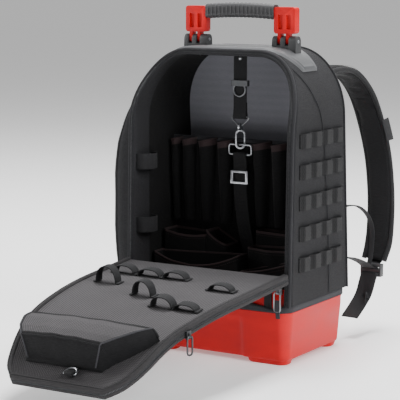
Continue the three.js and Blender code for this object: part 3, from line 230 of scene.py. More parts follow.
class BackpackSizes(PropertyGroup):
    """Sizes of the repeated details."""

    stitch_length: length_property("Stitch length", "Length of one stitch", 0.0032)
    stitch_pitch: length_property("Stitch pitch", "From one stitch to the next", 0.0045)
    stitch_width: length_property("Stitch width", "Thickness of the thread", 0.0009)
    tooth_pitch: length_property("Zip pitch", "From one zip tooth to the next", 0.0022)
    piping: length_property("Piping radius", "Radius of the piped seams", 0.0014)
    edge_round: length_property("Edge rounding", "Rounding of the moulded edges", 0.0008)
    strap_swell: length_property("Strap swell", "Furthest that the padding may swell", 0.003)
    grip_ribs: IntProperty(name="Grip ribs", description="Ribs along the grip", default=17, min=2)
    key_light: power_property("Key light", "Power of the key light", 90)
    fill_light: power_property("Fill light", "Power that the other lights take shares of", 22)


def colours():
    return bpy.context.scene.backpack_colours


def sizes():
    return bpy.context.scene.backpack_sizes


# Curves and outlines


def at(x, y, z):
    """Point of the drawing, in millimetres, as a place in the frame, in metres."""
    return Vector((x, y, z)) / 1000 + SHIFT


def straight_at(table, place):
    """Value of a table at a place, straight between its rows."""
    for (low, a), (high, b) in zip(table, table[1:]):
        if place <= high:
            return a + (b - a) * (place - low) / (high - low)
    return table[-1][1]


def smooth_at(table, place):
    """Value of a table at a place, along a smooth curve through its rows."""
    reach = 0.03 * (table[-1][0] - table[0][0])
    places = [min(max(place + k * reach, table[0][0]), table[-1][0]) for k in (-1, -0.5, 0, 0.5, 1)]
    near = [straight_at(table, p) for p in places]
    return (near[0] + 2 * near[1] + 2 * near[2] + 2 * near[3] + near[4]) / 8


def step(value, low, high):
    """Smooth step from 0 at low to 1 at high."""
    t = min(max((value - low) / (high - low), 0), 1)
    return t * t * (3 - 2 * t)


def spread(low, high, count):
    return [low + (high - low) * i / (count - 1) for i in range(count)]


def turns(count):
    """Angles evenly round a circle."""
    return [2 * pi * k / count for k in range(count)]


def signed_power(value, power):
    return abs(value) ** power * (1 if value > 0 else -1)


def smooth_line(points, steps):
    """Centripetal curve through points, with as many steps in each of its spans."""
    line = [Vector(p) for p in points]
    line = [2 * line[0] - line[1], *line, 2 * line[-1] - line[-2]]
    result = []
    for a, b, c, d in zip(line, line[1:], line[2:], line[3:]):
        before, here, after = (b - a).length ** 0.5, (c - b).length ** 0.5, (d - c).length ** 0.5
        leave = ((b - a) / before - (c - a) / (before + here) + (c - b) / here) * here
        arrive = ((c - b) / here - (d - b) / (here + after) + (d - c) / after) * here
        for i in range(steps):
            t = i / steps
            result.append(
                b * (2 * t**3 - 3 * t**2 + 1) + leave * (t**3 - 2 * t**2 + t)
                + c * (3 * t**2 - 2 * t**3) + arrive * (t**3 - t**2)
            )
    result.append(line[-2])
    return result


def rounded(x0, x1, y0, y1, radius, steps=6):
    """Rounded rectangle, anticlockwise from the middle of its right side."""
    corners = [(x1 - radius, y1 - radius, 0), (x0 + radius, y1 - radius, 90),
               (x0 + radius, y0 + radius, 180), (x1 - radius, y0 + radius, 270)]
    points = []
    for cx, cy, start in corners:
        for i in range(steps + 1):
            angle = radians(start + 90 * i / steps)
            points.append((cx + radius * cos(angle), cy + radius * sin(angle)))
    return points


def bulge(out, start, end, steps, power=3.2):
    """Outline that stands out from a wall between two ends: (out, along)."""
    half, middle = (end - start) / 2, (end + start) / 2
    points = []
    for i in range(steps + 1):
        angle = radians(-90 + 180 * i / steps)
        side = sin(angle)
        along = half * abs(side) ** (2 / power) * (1 if side > 0 else -1)
        points.append((out * max(cos(angle), 0) ** (2 / power), middle + along))
    return points


def front_y(z):
    return TUB_FRONT + smooth_at(FRONT_LEAN, (z - BASE) / (CROWN - BASE))


def back_y(z):
    return TUB_BACK - BACK_LEAN * (z - BASE) / (CROWN - BASE)


def half_width(z, inset=0.0):
    rise = min(max(z - SHOULDER_Z, 0) / SHOULDER_HEIGHT, 1)
    return HALF - SHOULDER_WIDTH - inset + SHOULDER_WIDTH * sqrt(1 - rise * rise)


def arch(inset, start=None, steps=24):
    """Arch over the body, right to left, as (x, z); start is its first angle on the shoulder."""
    side = [] if start is not None else [(HALF - inset, z) for z in spread(BASE, SHOULDER_Z, 16)[:-1]]
    for angle in spread(start or 0, 90, steps):
        side.append((HALF - SHOULDER_WIDTH + (SHOULDER_WIDTH - inset) * cos(radians(angle)),
                     SHOULDER_Z + (SHOULDER_HEIGHT - inset) * sin(radians(angle))))
    side += [((HALF - SHOULDER_WIDTH) * share, CROWN - inset) for share in (0.75, 0.5, 0.25, 0)]
    return side + [(-x, z) for x, z in side[-2::-1]]


def lid_spine():
    """Points of the lid's middle line with their slope."""
    y, z, spine, count = LID_START, LID_HEIGHT, [], 240
    for i in range(count + 1):
        angle = radians(smooth_at(LID_DROOP, i / count))
        spine.append((y, z, angle))
        y -= LID_LENGTH / count * cos(angle)
        z -= LID_LENGTH / count * sin(angle)
    return spine


LID_SPINE = lid_spine()


def lid_at(along, x, height):
    """Point of the lid: share of its length, side, and height over its rim."""
    place = min(max(along, 0), 1) * (len(LID_SPINE) - 1)
    low = min(int(place), len(LID_SPINE) - 2)
    share = place - low
    y, z, angle = (a + (b - a) * share for a, b in zip(LID_SPINE[low], LID_SPINE[low + 1]))
    return (x, y - height * sin(angle), z + height * cos(angle))


def lid_half(along):
    return HALF * smooth_at(LID_OUTLINE, along)


def on_lid(along, x, out, run):
    """Point near a place on the lid: out of its panel, and run back towards the hinge."""
    place = along - run / LID_LENGTH
    return lid_at(place, x, out - LID_SINK)


# Meshes


def distances(points, loop):
    total, result = 0.0, [0.0]
    line = [Vector(p) for p in points] + ([Vector(points[0])] if loop else [])
    for a, b in zip(line, line[1:]):
        total += (b - a).length
        result.append(total)
    return result


class Shape:
    """Faces of one piece, in millimetres, with a cloth chart in metres across and along it."""

    def __init__(self):
        self.points, self.faces, self.finishes, self.chart = [], [], [], []

    def rings(self, rings, finish=0, loop=False, closed=True, capped=True, choose=None):
        first, count = len(self.points), len(rings[0])
        self.points += [tuple(p) for ring in rings for p in ring]
        across = distances(rings[len(rings) // 2], closed)
        along = distances([ring[0] for ring in rings], loop)
        for r in range(len(rings) if loop else len(rings) - 1):
            s = (r + 1) % len(rings)
            for i in range(count if closed else count - 1):
                j = (i + 1) % count
                self.faces.append((first + r * count + i, first + r * count + j,
                                   first + s * count + j, first + s * count + i))
                self.finishes.append(choose(r, i) if choose else finish)
                self.chart += [across[i], along[r], across[i + 1], along[r],
                               across[i + 1], along[r + 1], across[i], along[r + 1]]
        if capped and closed and not loop:
            for ring, start in ((rings[0], first), (rings[-1], first + (len(rings) - 1) * count)):
                self.faces.append(tuple(range(start, start + count)))
                row = 0 if ring is rings[0] else len(rings) - 2
                self.finishes.append(choose(row, 0) if choose else finish)
                for p in ring:
                    self.chart += [p[0] + p[1], p[2]]
        return self

    def tube(self, line, radius, sides=8, loop=False, finish=0, flat=1.0):
        """Round cord along a line; flat squeezes it along its own up direction."""
        points = [Vector(p) for p in line]
        up, rings = None, []
        for i, p in enumerate(points):
            before = points[i - 1] if i or loop else p
            after = points[(i + 1) % len(points)] if i + 1 < len(points) or loop else p
            tangent = (after - before).normalized()
            if up is None:
                up = tangent.orthogonal().normalized()
            up = (up - tangent * up.dot(tangent)).normalized()
            side = tangent.cross(up)
            rings.append([
                p + side * radius * cos(2 * pi * k / sides) + up * radius * flat * sin(2 * pi * k / sides)
                for k in range(sides)
            ])
        return self.rings(rings, finish, loop=loop)

    def ribbon(self, line, width, thickness, across=(1, 0, 0), finish=0, taper=None):
        """Flat strip along a line with rounded edges."""
        points, across = [Vector(p) for p in line], Vector(across)
        section = [(-1, 0), (-0.985, -0.8), (-0.94, -1), (0.94, -1), (0.985, -0.8), (1, 0),
                   (0.985, 0.8), (0.94, 1), (-0.94, 1), (-0.985, 0.8)]
        rings = []
        for i, p in enumerate(points):
            tangent = (points[min(i + 1, len(points) - 1)] - points[max(i - 1, 0)]).normalized()
            side = (across - tangent * across.dot(tangent)).normalized()
            up = tangent.cross(side)
            half = width / 2 * (taper(i / (len(points) - 1)) if taper else 1)
            rings.append([p + side * a * half + up * b * thickness / 2 for a, b in section])
        return self.rings(rings, finish)

    def build(self, name, looks, smooth):
        """The shape's mesh; looks names its finishes, split by spaces."""
        mesh = bpy.data.meshes.new(name)
        mesh.from_pydata([at(*p) for p in self.points], [], self.faces)
        mesh.uv_layers.new(name="cloth").data.foreach_set("uv", [c / 1000 for c in self.chart])
        mesh.polygons.foreach_set("material_index", self.finishes)
        for look in looks.split():
            mesh.materials.append(finish_named(look))
        turn_out(mesh)
        soften(mesh, smooth)
        return show(name, mesh)

    def piece(self, name, looks, smooth, nodes=(), slot=None, body="pack"):
        """The shape built, riding on its body and standing for its CAD nodes."""
        return settle(self.build(name, looks, smooth), body, nodes)


def turn_out(mesh):
    work = bmesh.new()
    work.from_mesh(mesh)
    bmesh.ops.recalc_face_normals(work, faces=work.faces)
    work.to_mesh(mesh)
    work.free()


def soften(mesh, angle):
    mesh.shade_smooth()
    mesh.set_sharp_from_angle(angle=radians(angle))


def show(name, mesh):
    piece = bpy.data.objects.new(name, mesh)
    bpy.context.scene.collection.objects.link(piece)
    return piece


def settle(piece, body="pack", nodes=()):
    """The piece rides on its body and stands for its CAD nodes."""
    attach(piece, body)
    if nodes:
        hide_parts(*nodes)
    return piece


def applied(piece):
    """The piece's modifiers made part of its mesh."""
    graph = bpy.context.evaluated_depsgraph_get()
    mesh = bpy.data.meshes.new_from_object(piece.evaluated_get(graph))
    old = piece.data
    piece.modifiers.clear()
    piece.data = mesh
    bpy.data.meshes.remove(old)
    return piece


def dressed(node, look, round_off=None, body="pack"):
    """A copy of a hard CAD node with merged faces and rounded edges, in its place."""
    work = bmesh.new()
    work.from_mesh(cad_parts[node].data)
    bmesh.ops.remove_doubles(work, verts=work.verts, dist=1e-6)
    bmesh.ops.dissolve_limit(work, angle_limit=radians(1), verts=work.verts, edges=work.edges)
    mesh = bpy.data.meshes.new(node + "_dressed")
    work.to_mesh(mesh)
    work.free()
    mesh.materials.clear()
    mesh.materials.append(finish_named(look))
    piece = show(node + "_dressed", mesh)
    edge = piece.modifiers.new("Edges", "BEVEL")
    edge.width = sizes().edge_round if round_off is None else round_off
    edge.segments = 3
    edge.limit_method = "ANGLE"
    edge.angle_limit = radians(38)
    edge.use_clamp_overlap = True
    applied(piece)
    soften(piece.data, 35)
    return settle(piece, body, [node])


def swollen(piece, cap, pressure=4.0, voxel=0.005):
    """Padding: the closed piece is blown up a little as cloth, then smoothed."""
    finish = piece.data.materials[0]
    remesh = piece.modifiers.new("Even", "REMESH")
    remesh.mode, remesh.voxel_size = "VOXEL", voxel
    applied(piece)
    start = [v.co.copy() for v in piece.data.vertices]
    cloth = piece.modifiers.new("Cloth", "CLOTH")
    cloth.settings.use_pressure = True
    cloth.settings.uniform_pressure_force = pressure
    cloth.settings.quality = 4
    cloth.settings.effector_weights.gravity = 0
    cloth.point_cache.frame_start, cloth.point_cache.frame_end = 1, SWELL_FRAMES
    scene = bpy.context.scene
    for moment in range(1, SWELL_FRAMES + 1):
        scene.frame_set(moment)
    applied(piece)
    for vertex, old in zip(piece.data.vertices, start):
        move = vertex.co - old
        if move.length > cap:
            vertex.co = old + move.normalized() * cap
    scene.frame_set(1)
    piece.data.materials.clear()
    piece.data.materials.append(finish)
    smooth = piece.modifiers.new("Smooth", "SUBSURF")
    smooth.levels = smooth.render_levels = 1
    applied(piece)
    piece.data.shade_smooth()
    return piece


def seam(kind, line, up):
    """A line of stitches or teeth to be made later; up is a direction or one for each point."""
    points = [Vector(p) for p in line]
    ups = [Vector(u) for u in up] if isinstance(up, list) else [Vector(up)] * len(points)
    SEAMS[kind].append((points, ups))


# Finishes


class Graph:
    """Nodes and links of a material or of a geometry node tree."""

    def __init__(self, tree):
        self.nodes, self.links = tree.nodes, tree.links

    def node(self, kind, inputs=None, **settings):
        made = self.nodes.new(kind)
        for key, value in settings.items():
            setattr(made, key, value)
        for key, value in (inputs or {}).items():
            if hasattr(value, "is_linked"):
                self.links.new(value, made.inputs[key])
            else:
                made.inputs[key].default_value = value
        return made

    def math(self, operation, a, b=0.0):
        return self.node("ShaderNodeMath", {0: a, 1: b}, operation=operation).outputs[0]

    def add(self, a, b):
        return self.math("ADD", a, b)

    def times(self, a, b):
        return self.math("MULTIPLY", a, b)

    def less(self, a, b):
        return self.math("SUBTRACT", a, b)

    def parts(self, vector):
        return self.node("ShaderNodeSeparateXYZ", {0: vector}).outputs


class Finish(Graph):
    """One material, wired node by node."""

    def __init__(self, name, colour, roughness, metallic=0.0, sheen=0.0, coat=0.0, specular=0.5):
        self.material = bpy.data.materials.new(name)
        self.material.use_nodes = True
        super().__init__(self.material.node_tree)
        self.shader = self.nodes["Principled BSDF"]
        self.colour, self.roughness = tuple(colour), roughness
        for socket, value in (("Metallic", metallic), ("Sheen Weight", sheen), ("Sheen Roughness", 0.6),
                              ("Coat Weight", coat), ("Specular IOR Level", specular)):
            self.shader.inputs[socket].default_value = value

    def place(self, chart=False, scale=(1, 1, 1), turn=0.0):
        """Object coordinates, or the piece's own cloth chart, scaled."""
        if chart:
            source = self.node("ShaderNodeUVMap", uv_map="cloth").outputs["UV"]
        else:
            source = self.node("ShaderNodeTexCoord").outputs["Object"]
        mapping = self.node("ShaderNodeMapping", {"Vector": source, "Scale": scale, "Rotation": (0, 0, turn)})
        return mapping.outputs["Vector"]

    def noise(self, vector, scale, detail=3.0):
        inputs = {"Vector": vector, "Scale": scale, "Detail": detail}
        return self.node("ShaderNodeTexNoise", inputs).outputs["Fac"]

    def fit(self, value, low, high, to_low, to_high):
        inputs = {"Value": value, 1: low, 2: high, 3: to_low, 4: to_high}
        return self.node("ShaderNodeMapRange", inputs).outputs["Result"]

    def mix(self, factor, a, b):
        made = self.node("ShaderNodeMix", {0: factor}, data_type="RGBA")
        for index, value in ((6, a), (7, b)):
            if hasattr(value, "is_linked"):
                self.links.new(value, made.inputs[index])
            else:
                made.inputs[index].default_value = (*value[:3], 1)
        return made.outputs[2]

    def shade(self, share):
        return tuple(min(c * share, 1) for c in self.colour)

    def lattice(self, vector, count):
        """Over-and-under relief of a weave from coordinates, count threads to the metre."""
        waves = [self.math("SINE", self.times(part, count * 2 * pi)) for part in self.parts(vector)]
        return self.add(self.add(waves[0], waves[1]), waves[2])

    def worn_edges(self, colour, share=0.35):
        """Edges rubbed paler."""
        bend = self.node("ShaderNodeNewGeometry").outputs["Pointiness"]
        rubbed = self.fit(bend, 0.53, 0.62, 0.0, share)
        return self.mix(rubbed, colour, self.shade(1.9))

    def finish(self, colour, roughness, height, strength, distance):
        self.links.new(colour, self.shader.inputs["Base Color"])
        self.links.new(roughness, self.shader.inputs["Roughness"])
        inputs = {"Height": height, "Strength": strength, "Distance": distance}
        bump = self.node("ShaderNodeBump", inputs)
        self.links.new(bump.outputs["Normal"], self.shader.inputs["Normal"])
        return self.material


def moulded(name, colour, roughness, grain=1400, specular=0.5):
    """Moulded plastic with a fine spark-eroded grain, faint flow marks and rubbed edges."""
    made = Finish(name, colour, roughness, specular=specular)
    place = made.place()
    flow = made.noise(made.place(scale=(1, 1, 2.5)), 14, 4)
    fine = made.noise(place, grain, 2)
    tone = made.mix(made.fit(flow, 0.3, 0.7, 0, 1), made.shade(0.88), made.shade(1.08))
    tone = made.mix(made.fit(fine, 0.35, 0.65, 0, 0.3), tone, made.shade(0.75))
    gloss = made.fit(flow, 0.3, 0.7, roughness - 0.06, roughness + 0.08)
    return made.finish(made.worn_edges(tone), gloss, fine, 0.25, 0.0004)


def woven(name, colour, threads=1100, contrast=0.12, sheen=0.03, strength=0.3, chart=False):
    """Heavy plain-woven cloth with slubs and dusty wear."""
    made = Finish(name, colour, 0.85, sheen=sheen, specular=0.22)
    place = made.place(chart)
    weave = made.lattice(place, threads)
    slub = made.noise(made.place(chart, scale=(1, 1, 6)), 160, 2)
    cloudy = made.noise(made.place(chart), 11, 4)
    tone = made.mix(made.fit(weave, -2, 2, 0, 1), made.shade(1 - contrast), made.shade(1 + contrast))
    tone = made.mix(made.fit(cloudy, 0.35, 0.7, 0, 0.55), tone, made.shade(1.5))
    tone = made.mix(made.fit(slub, 0.5, 0.75, 0, 0.4), tone, made.shade(0.7))
    gloss = made.fit(slub, 0.3, 0.7, 0.74, 0.95)
    height = made.add(weave, made.times(slub, 2.5))
    return made.finish(made.worn_edges(tone, 0.25), gloss, height, strength, 0.0005)


def ribbed(name, colour, pitch=0.0048):
    """Lid cloth: raised ribs along it, crossed by a finer rip-stop thread."""
    made = Finish(name, colour, 0.8, sheen=0.03, specular=0.25)
    parts = made.parts(made.place(True))
    ribs = made.math("SINE", made.times(parts[0], 2 * pi / pitch))
    cross = made.math("SINE", made.times(parts[1], 2 * pi / (pitch * 0.8)))
    cloudy = made.noise(made.place(True), 18, 4)
    fine = made.noise(made.place(), 900, 2)
    tone = made.mix(made.fit(ribs, -1, 1, 0, 1), made.shade(0.4), made.shade(1.6))
    tone = made.mix(made.fit(cross, 0.2, 1, 0, 0.6), tone, made.shade(0.4))
    tone = made.mix(made.fit(cloudy, 0.4, 0.7, 0, 0.4), tone, made.shade(0.75))
    height = made.add(ribs, made.add(made.times(cross, 0.4), fine))
    return made.finish(tone, made.fit(fine, 0.3, 0.7, 0.7, 0.92), height, 0.6, 0.0006)


def webbing(name, colour, rib=0.0022):
    """Flat webbing: ribs across it, two pressed lines along it and fuzzy thread."""
    made = Finish(name, colour, 0.75, sheen=0.04, specular=0.28)
    parts = made.parts(made.place(True))
    wave = made.math("ABSOLUTE", made.math("SINE", made.times(parts[0], 420)))
    ribs = made.math("SINE", made.times(made.add(wave, made.times(parts[1], 2 / rib)), pi))
    fuzz = made.noise(made.place(), 700, 3)
    cloudy = made.noise(made.place(), 25, 3)
    tone = made.mix(made.fit(ribs, -1, 1, 0, 1), made.shade(0.6), made.shade(1.45))
    tone = made.mix(made.fit(fuzz, 0.45, 0.7, 0, 0.5), tone, made.shade(1.9))
    tone = made.mix(made.fit(cloudy, 0.4, 0.7, 0, 0.35), tone, made.shade(0.75))
    gloss = made.fit(fuzz, 0.3, 0.7, 0.66, 0.9)
    return made.finish(made.worn_edges(tone, 0.3), gloss, made.add(ribs, fuzz), 0.55, 0.0005)


def air_mesh(name, colour):
    """Open spacer mesh of the back and the straps' inner sides."""
    made = Finish(name, colour, 0.9, sheen=0.03, specular=0.2)
    cells = made.node("ShaderNodeTexVoronoi", {"Vector": made.place(), "Scale": 330.0, "Randomness": 0.15})
    hole = made.fit(cells.outputs["Distance"], 0.25, 0.5, 0, 1)
    fuzz = made.noise(made.place(), 600, 2)
    cloudy = made.noise(made.place(), 14, 3)
    tone = made.mix(hole, made.shade(0.45), made.shade(1.25))
    tone = made.mix(made.fit(cloudy, 0.4, 0.7, 0, 0.4), tone, made.shade(0.8))
    return made.finish(tone, made.fit(fuzz, 0.3, 0.7, 0.8, 0.97), hole, 0.7, 0.0012)


def brushed(name, colour, roughness=0.3):
    """Plated wire and pressed steel with fine scratches."""
    made = Finish(name, colour, roughness, metallic=1.0)
    scratch = made.noise(made.place(scale=(1, 1, 9)), 260, 4)
    cloudy = made.noise(made.place(), 60, 3)
    tone = made.mix(made.fit(cloudy, 0.35, 0.7, 0, 1), made.shade(0.8), made.shade(1.1))
    gloss = made.fit(scratch, 0.3, 0.75, roughness - 0.1, roughness + 0.2)
    return made.finish(made.worn_edges(tone, 0.4), gloss, scratch, 0.12, 0.0002)


def twisted(name, colour):
    """Thick sewing thread."""
    made = Finish(name, colour, 0.7, sheen=0.02, specular=0.25)
    twist = made.noise(made.place(scale=(1, 1, 1)), 2600, 2)
    tone = made.mix(made.fit(twist, 0.35, 0.65, 0, 1), made.shade(0.7), made.shade(1.4))
    return made.finish(tone, made.fit(twist, 0.3, 0.7, 0.5, 0.75), twist, 0.4, 0.0002)


# Finishes made so far. The frame has materials of its own under some of these names.
MADE = {}

# Each finish: its maker, its colour and the share of it taken, and the maker's settings
FINISHES = {
    "red_plastic": (moulded, "red", 1, {"roughness": 0.46, "specular": 0.28}),
    "grey_plastic": (moulded, "grey", 1, {"roughness": 0.5, "grain": 1100}),
    "bracket_plastic": (moulded, "grey", 0.55, {"roughness": 0.5, "grain": 1100}),
    "black_plastic": (moulded, "black", 1, {"roughness": 0.52, "grain": 1100}),
    "body_cloth": (woven, "body", 0.58, {}),
    "rim_cloth": (woven, "body", 0.8, {}),
    "gusset_cloth": (woven, "body", 0.28, {}),
    "strap_cloth": (woven, "body", 0.3, {}),
    "strap_edge": (webbing, "body", 0.45, {"rib": 0.0018}),
    "edge_tape": (webbing, "body", 1.6, {"rib": 0.0018}),
    "spacer_mesh": (air_mesh, "body", 0.9, {}),
    # Lining painted twenty times paler for the back wall's inner face: painted light falling on it.
    "back_lining": (woven, "lining", 20, {}),
    # Lining darkened to a quarter for the board, sleeves, pockets and inner walls: painted shade over the
    # inside.
    "lining_cloth": (woven, "lining", 0.25, {}),
    # Lining painted paler for the front strip of the inner side walls: painted light near the opening.
    "pale_lining": (woven, "lining", 1.6, {}),
    "lid_cloth": (ribbed, "lid", 1, {}),
    "lid_edge": (woven, "lid", 0.4, {}),
    "webbing_cloth": (webbing, "webbing", 1, {}),
    "row_webbing": (webbing, "webbing", 0.6, {"rib": 0.0026}),
    "binding_tape": (webbing, "binding", 1, {"rib": 0.0018}),
    "plated_steel": (brushed, "steel", 1, {}),
    "ring_metal": (brushed, "steel", 0.55, {"roughness": 0.35}),
    "slider_metal": (brushed, "steel", 0.2, {"roughness": 0.4}),
    "zip_metal": (brushed, "steel", 0.16, {"roughness": 0.45}),
    "thread_dark": (twisted, "webbing", 1.1, {}),
    "thread_brown": (twisted, "binding", 1.3, {}),
}


def finish_named(name):
    """The backpack's finishes, each made once."""
    if name not in MADE:
        make, colour, share, settings = FINISHES[name]
        MADE[name] = make(name, tuple(c * share for c in getattr(colours(), colour)), **settings)
    return MADE[name]


# Geometry node trees


class Tree(Graph):
    """A geometry node tree with named sizes."""

    def __init__(self, name, inputs, geometry=False):
        self.tree = bpy.data.node_groups.new(name, "GeometryNodeTree")
        face = self.tree.interface
        if geometry:
            face.new_socket("Geometry", in_out="INPUT", socket_type="NodeSocketGeometry")
        for label, kind in inputs.items():
            face.new_socket(label, in_out="INPUT", socket_type="NodeSocket" + kind)
        face.new_socket("Geometry", in_out="OUTPUT", socket_type="NodeSocketGeometry")
        super().__init__(self.tree)
        self.input = self.nodes.new("NodeGroupInput")
        self.output = self.nodes.new("NodeGroupOutput")

    def size(self, label):
        return self.input.outputs[label]

    def vector(self, x=0.0, y=0.0, z=0.0):
        return self.node("ShaderNodeCombineXYZ", {0: x, 1: y, 2: z}).outputs[0]

    def finish(self, geometry):
        """Ends the tree: instances made real, then the finish."""
        real = self.node("GeometryNodeRealizeInstances", {0: geometry})
        inputs = {"Geometry": real.outputs[0], "Material": self.size("Finish")}
        coated = self.node("GeometryNodeSetMaterial", inputs)
        self.links.new(coated.outputs[0], self.output.inputs[0])
        return self.tree


def grown(name, tree, values, mesh=None, smooth=40):
    """A plain mesh from a tree and its sizes."""
    piece = show(name, mesh or bpy.data.meshes.new(name))
    modifier = piece.modifiers.new("Grow", "NODES")
    modifier.node_group = tree
    sockets = {s.name: s.identifier for s in tree.interface.items_tree if s.in_out == "INPUT"}
    for label, value in values.items():
        modifier[sockets[label]] = value
    applied(piece)
    soften(piece.data, smooth)
    return piece


def line_repeat_tree(name):
    """Small bodies set along lines: stitches, or the teeth of a zip. Each line's points carry "up"."""
    inputs = {**dict.fromkeys(("Pitch", "Length", "Width", "Height"), "Float"), "Finish": "Material"}
    tree = Tree(name, inputs, geometry=True)
    curve = tree.node("GeometryNodeMeshToCurve", {"Mesh": tree.size("Geometry")}).outputs[0]
    inputs = {"Curve": curve, "Length": tree.size("Pitch")}
    even = tree.node("GeometryNodeResampleCurve", inputs, mode="LENGTH")
    body = tree.node("GeometryNodeMeshIcoSphere", {"Radius": 0.5, "Subdivisions": 1}).outputs["Mesh"]
    up = tree.node("GeometryNodeInputNamedAttribute", {"Name": "up"}, data_type="FLOAT_VECTOR").outputs[0]
    tangent = tree.node("GeometryNodeInputTangent").outputs[0]
    along = tree.node("FunctionNodeAlignRotationToVector", {"Vector": tangent}, axis="X")
    stand = tree.node("FunctionNodeAlignRotationToVector", {"Rotation": along.outputs[0], "Vector": up},
                      axis="Z", pivot_axis="X")
    scale = tree.vector(tree.size("Length"), tree.size("Width"), tree.size("Height"))
    inputs = {"Points": even.outputs[0], "Instance": body, "Rotation": stand.outputs[0], "Scale": scale}
    return tree.finish(tree.node("GeometryNodeInstanceOnPoints", inputs).outputs[0])


def webbing_rows_tree():
    """Rows of webbing that stand off a wall in loops between bars of stitches."""
    labels = ("Face", "Front", "Back", "Top", "Width", "Thickness", "Rise", "Loops", "Row Pitch")
    inputs = {**dict.fromkeys(labels, "Float"), "Rows": "Int", "Finish": "Material"}
    tree = Tree("Looped webbing", inputs)
    inputs = {"Size X": 1.0, "Size Y": 1.0, "Vertices X": 121, "Vertices Y": 5}
    grid = tree.node("GeometryNodeMeshGrid", inputs)
    parts = tree.parts(tree.node("GeometryNodeInputPosition").outputs[0])
    along = tree.add(parts[0], 0.5)
    place = tree.math("FRACT", tree.times(along, tree.size("Loops")))

    def smooth_step(low, high):
        inputs = {"Value": place, 1: low, 2: high}
        return tree.node("ShaderNodeMapRange", inputs, interpolation_type="SMOOTHSTEP").outputs[0]

    arched = tree.times(smooth_step(0.06, 0.3), tree.less(1.0, smooth_step(0.7, 0.94)))
    lift = tree.times(arched, tree.size("Rise"))
    run = tree.less(tree.size("Back"), tree.size("Front"))
    y = tree.add(tree.size("Front"), tree.times(along, run))
    edge = tree.math("ABSOLUTE", parts[1])
    cup = tree.times(tree.times(edge, edge), tree.times(lift, -0.5))
    x = tree.add(tree.add(tree.size("Face"), lift), cup)
    drop = tree.times(tree.less(parts[1], 0.5), tree.size("Width"))
    z = tree.add(tree.size("Top"), drop)
    inputs = {"Geometry": grid.outputs[0], "Name": "cloth", "Value": tree.vector(drop, y)}
    stored = tree.node("GeometryNodeStoreNamedAttribute", inputs, data_type="FLOAT2", domain="CORNER")
    inputs = {"Geometry": stored.outputs[0], "Position": tree.vector(x, y, z)}
    laid = tree.node("GeometryNodeSetPosition", inputs)
    inputs = {"Mesh": laid.outputs[0], "Offset": tree.vector(1.0), "Offset Scale": tree.size("Thickness"),
              "Individual": False}
    outer = tree.node("GeometryNodeExtrudeMesh", inputs)
    both = tree.node("GeometryNodeJoinGeometry")
    for layer in (laid, outer):
        tree.links.new(layer.outputs[0], both.inputs[0])
    whole = tree.node("GeometryNodeMergeByDistance", {"Geometry": both.outputs[0], "Distance": 1e-6})
    step_down = tree.vector(0.0, 0.0, tree.times(tree.size("Row Pitch"), -1.0))
    rows = tree.node("GeometryNodeMeshLine", {"Count": tree.size("Rows"), "Offset": step_down})
    inputs = {"Points": rows.outputs[0], "Instance": whole.outputs[0]}
    return tree.finish(tree.node("GeometryNodeInstanceOnPoints", inputs).outputs[0])


def grip_ribs_tree():
    """Ribs round a gently arched grip."""
    labels = ("Reach", "Depth", "Height", "Arch", "Rib", "Corner")
    inputs = {**dict.fromkeys(labels, "Float"), "Ribs": "Int", "Centre": "Vector", "Finish": "Material"}
    tree = Tree("Grip ribs", inputs)
    inputs = {"Width": tree.size("Depth"), "Height": tree.size("Height")}
    outline = tree.node("GeometryNodeCurvePrimitiveQuadrilateral", inputs)
    inputs = {"Curve": outline.outputs[0], "Count": 5, "Radius": tree.size("Corner")}
    soft = tree.node("GeometryNodeFilletCurve", inputs, mode="POLY")
    inputs = {"Resolution": 6, "Radius": tree.size("Rib")}
    bar = tree.node("GeometryNodeCurvePrimitiveCircle", inputs, mode="RADIUS")
    inputs = {"Curve": soft.outputs[0], "Profile Curve": bar.outputs[0]}
    ring = tree.node("GeometryNodeCurveToMesh", inputs)
    inputs = {"Geometry": ring.outputs[0], "Rotation": (pi / 2, 0, pi / 2)}
    turned = tree.node("GeometryNodeTransform", inputs)
    reach = tree.size("Reach")
    gap = tree.math("DIVIDE", tree.times(reach, 2.0), tree.less(tree.size("Ribs"), 1.0))
    start = tree.vector(tree.times(reach, -1.0))
    inputs = {"Count": tree.size("Ribs"), "Start Location": start, "Offset": tree.vector(gap)}
    line = tree.node("GeometryNodeMeshLine", inputs)
    place = tree.parts(tree.node("GeometryNodeInputPosition").outputs[0])
    share = tree.math("DIVIDE", place[0], reach)
    lift = tree.times(tree.less(1.0, tree.times(share, share)), tree.size("Arch"))
    inputs = {"Geometry": line.outputs[0], "Offset": tree.vector(0.0, 0.0, lift)}
    raised = tree.node("GeometryNodeSetPosition", inputs)
    inputs = {"Points": raised.outputs[0], "Instance": turned.outputs[0]}
    ribs = tree.node("GeometryNodeInstanceOnPoints", inputs)
    inputs = {"Geometry": ribs.outputs[0], "Translation": tree.size("Centre")}
    moved = tree.node("GeometryNodeTransform", inputs)
    return tree.finish(moved.outputs[0])


# Stage


def look_from(place, target):
    back = (Vector(place) - Vector(target)).normalized()
    return back.to_track_quat("Z", "Y").to_euler()


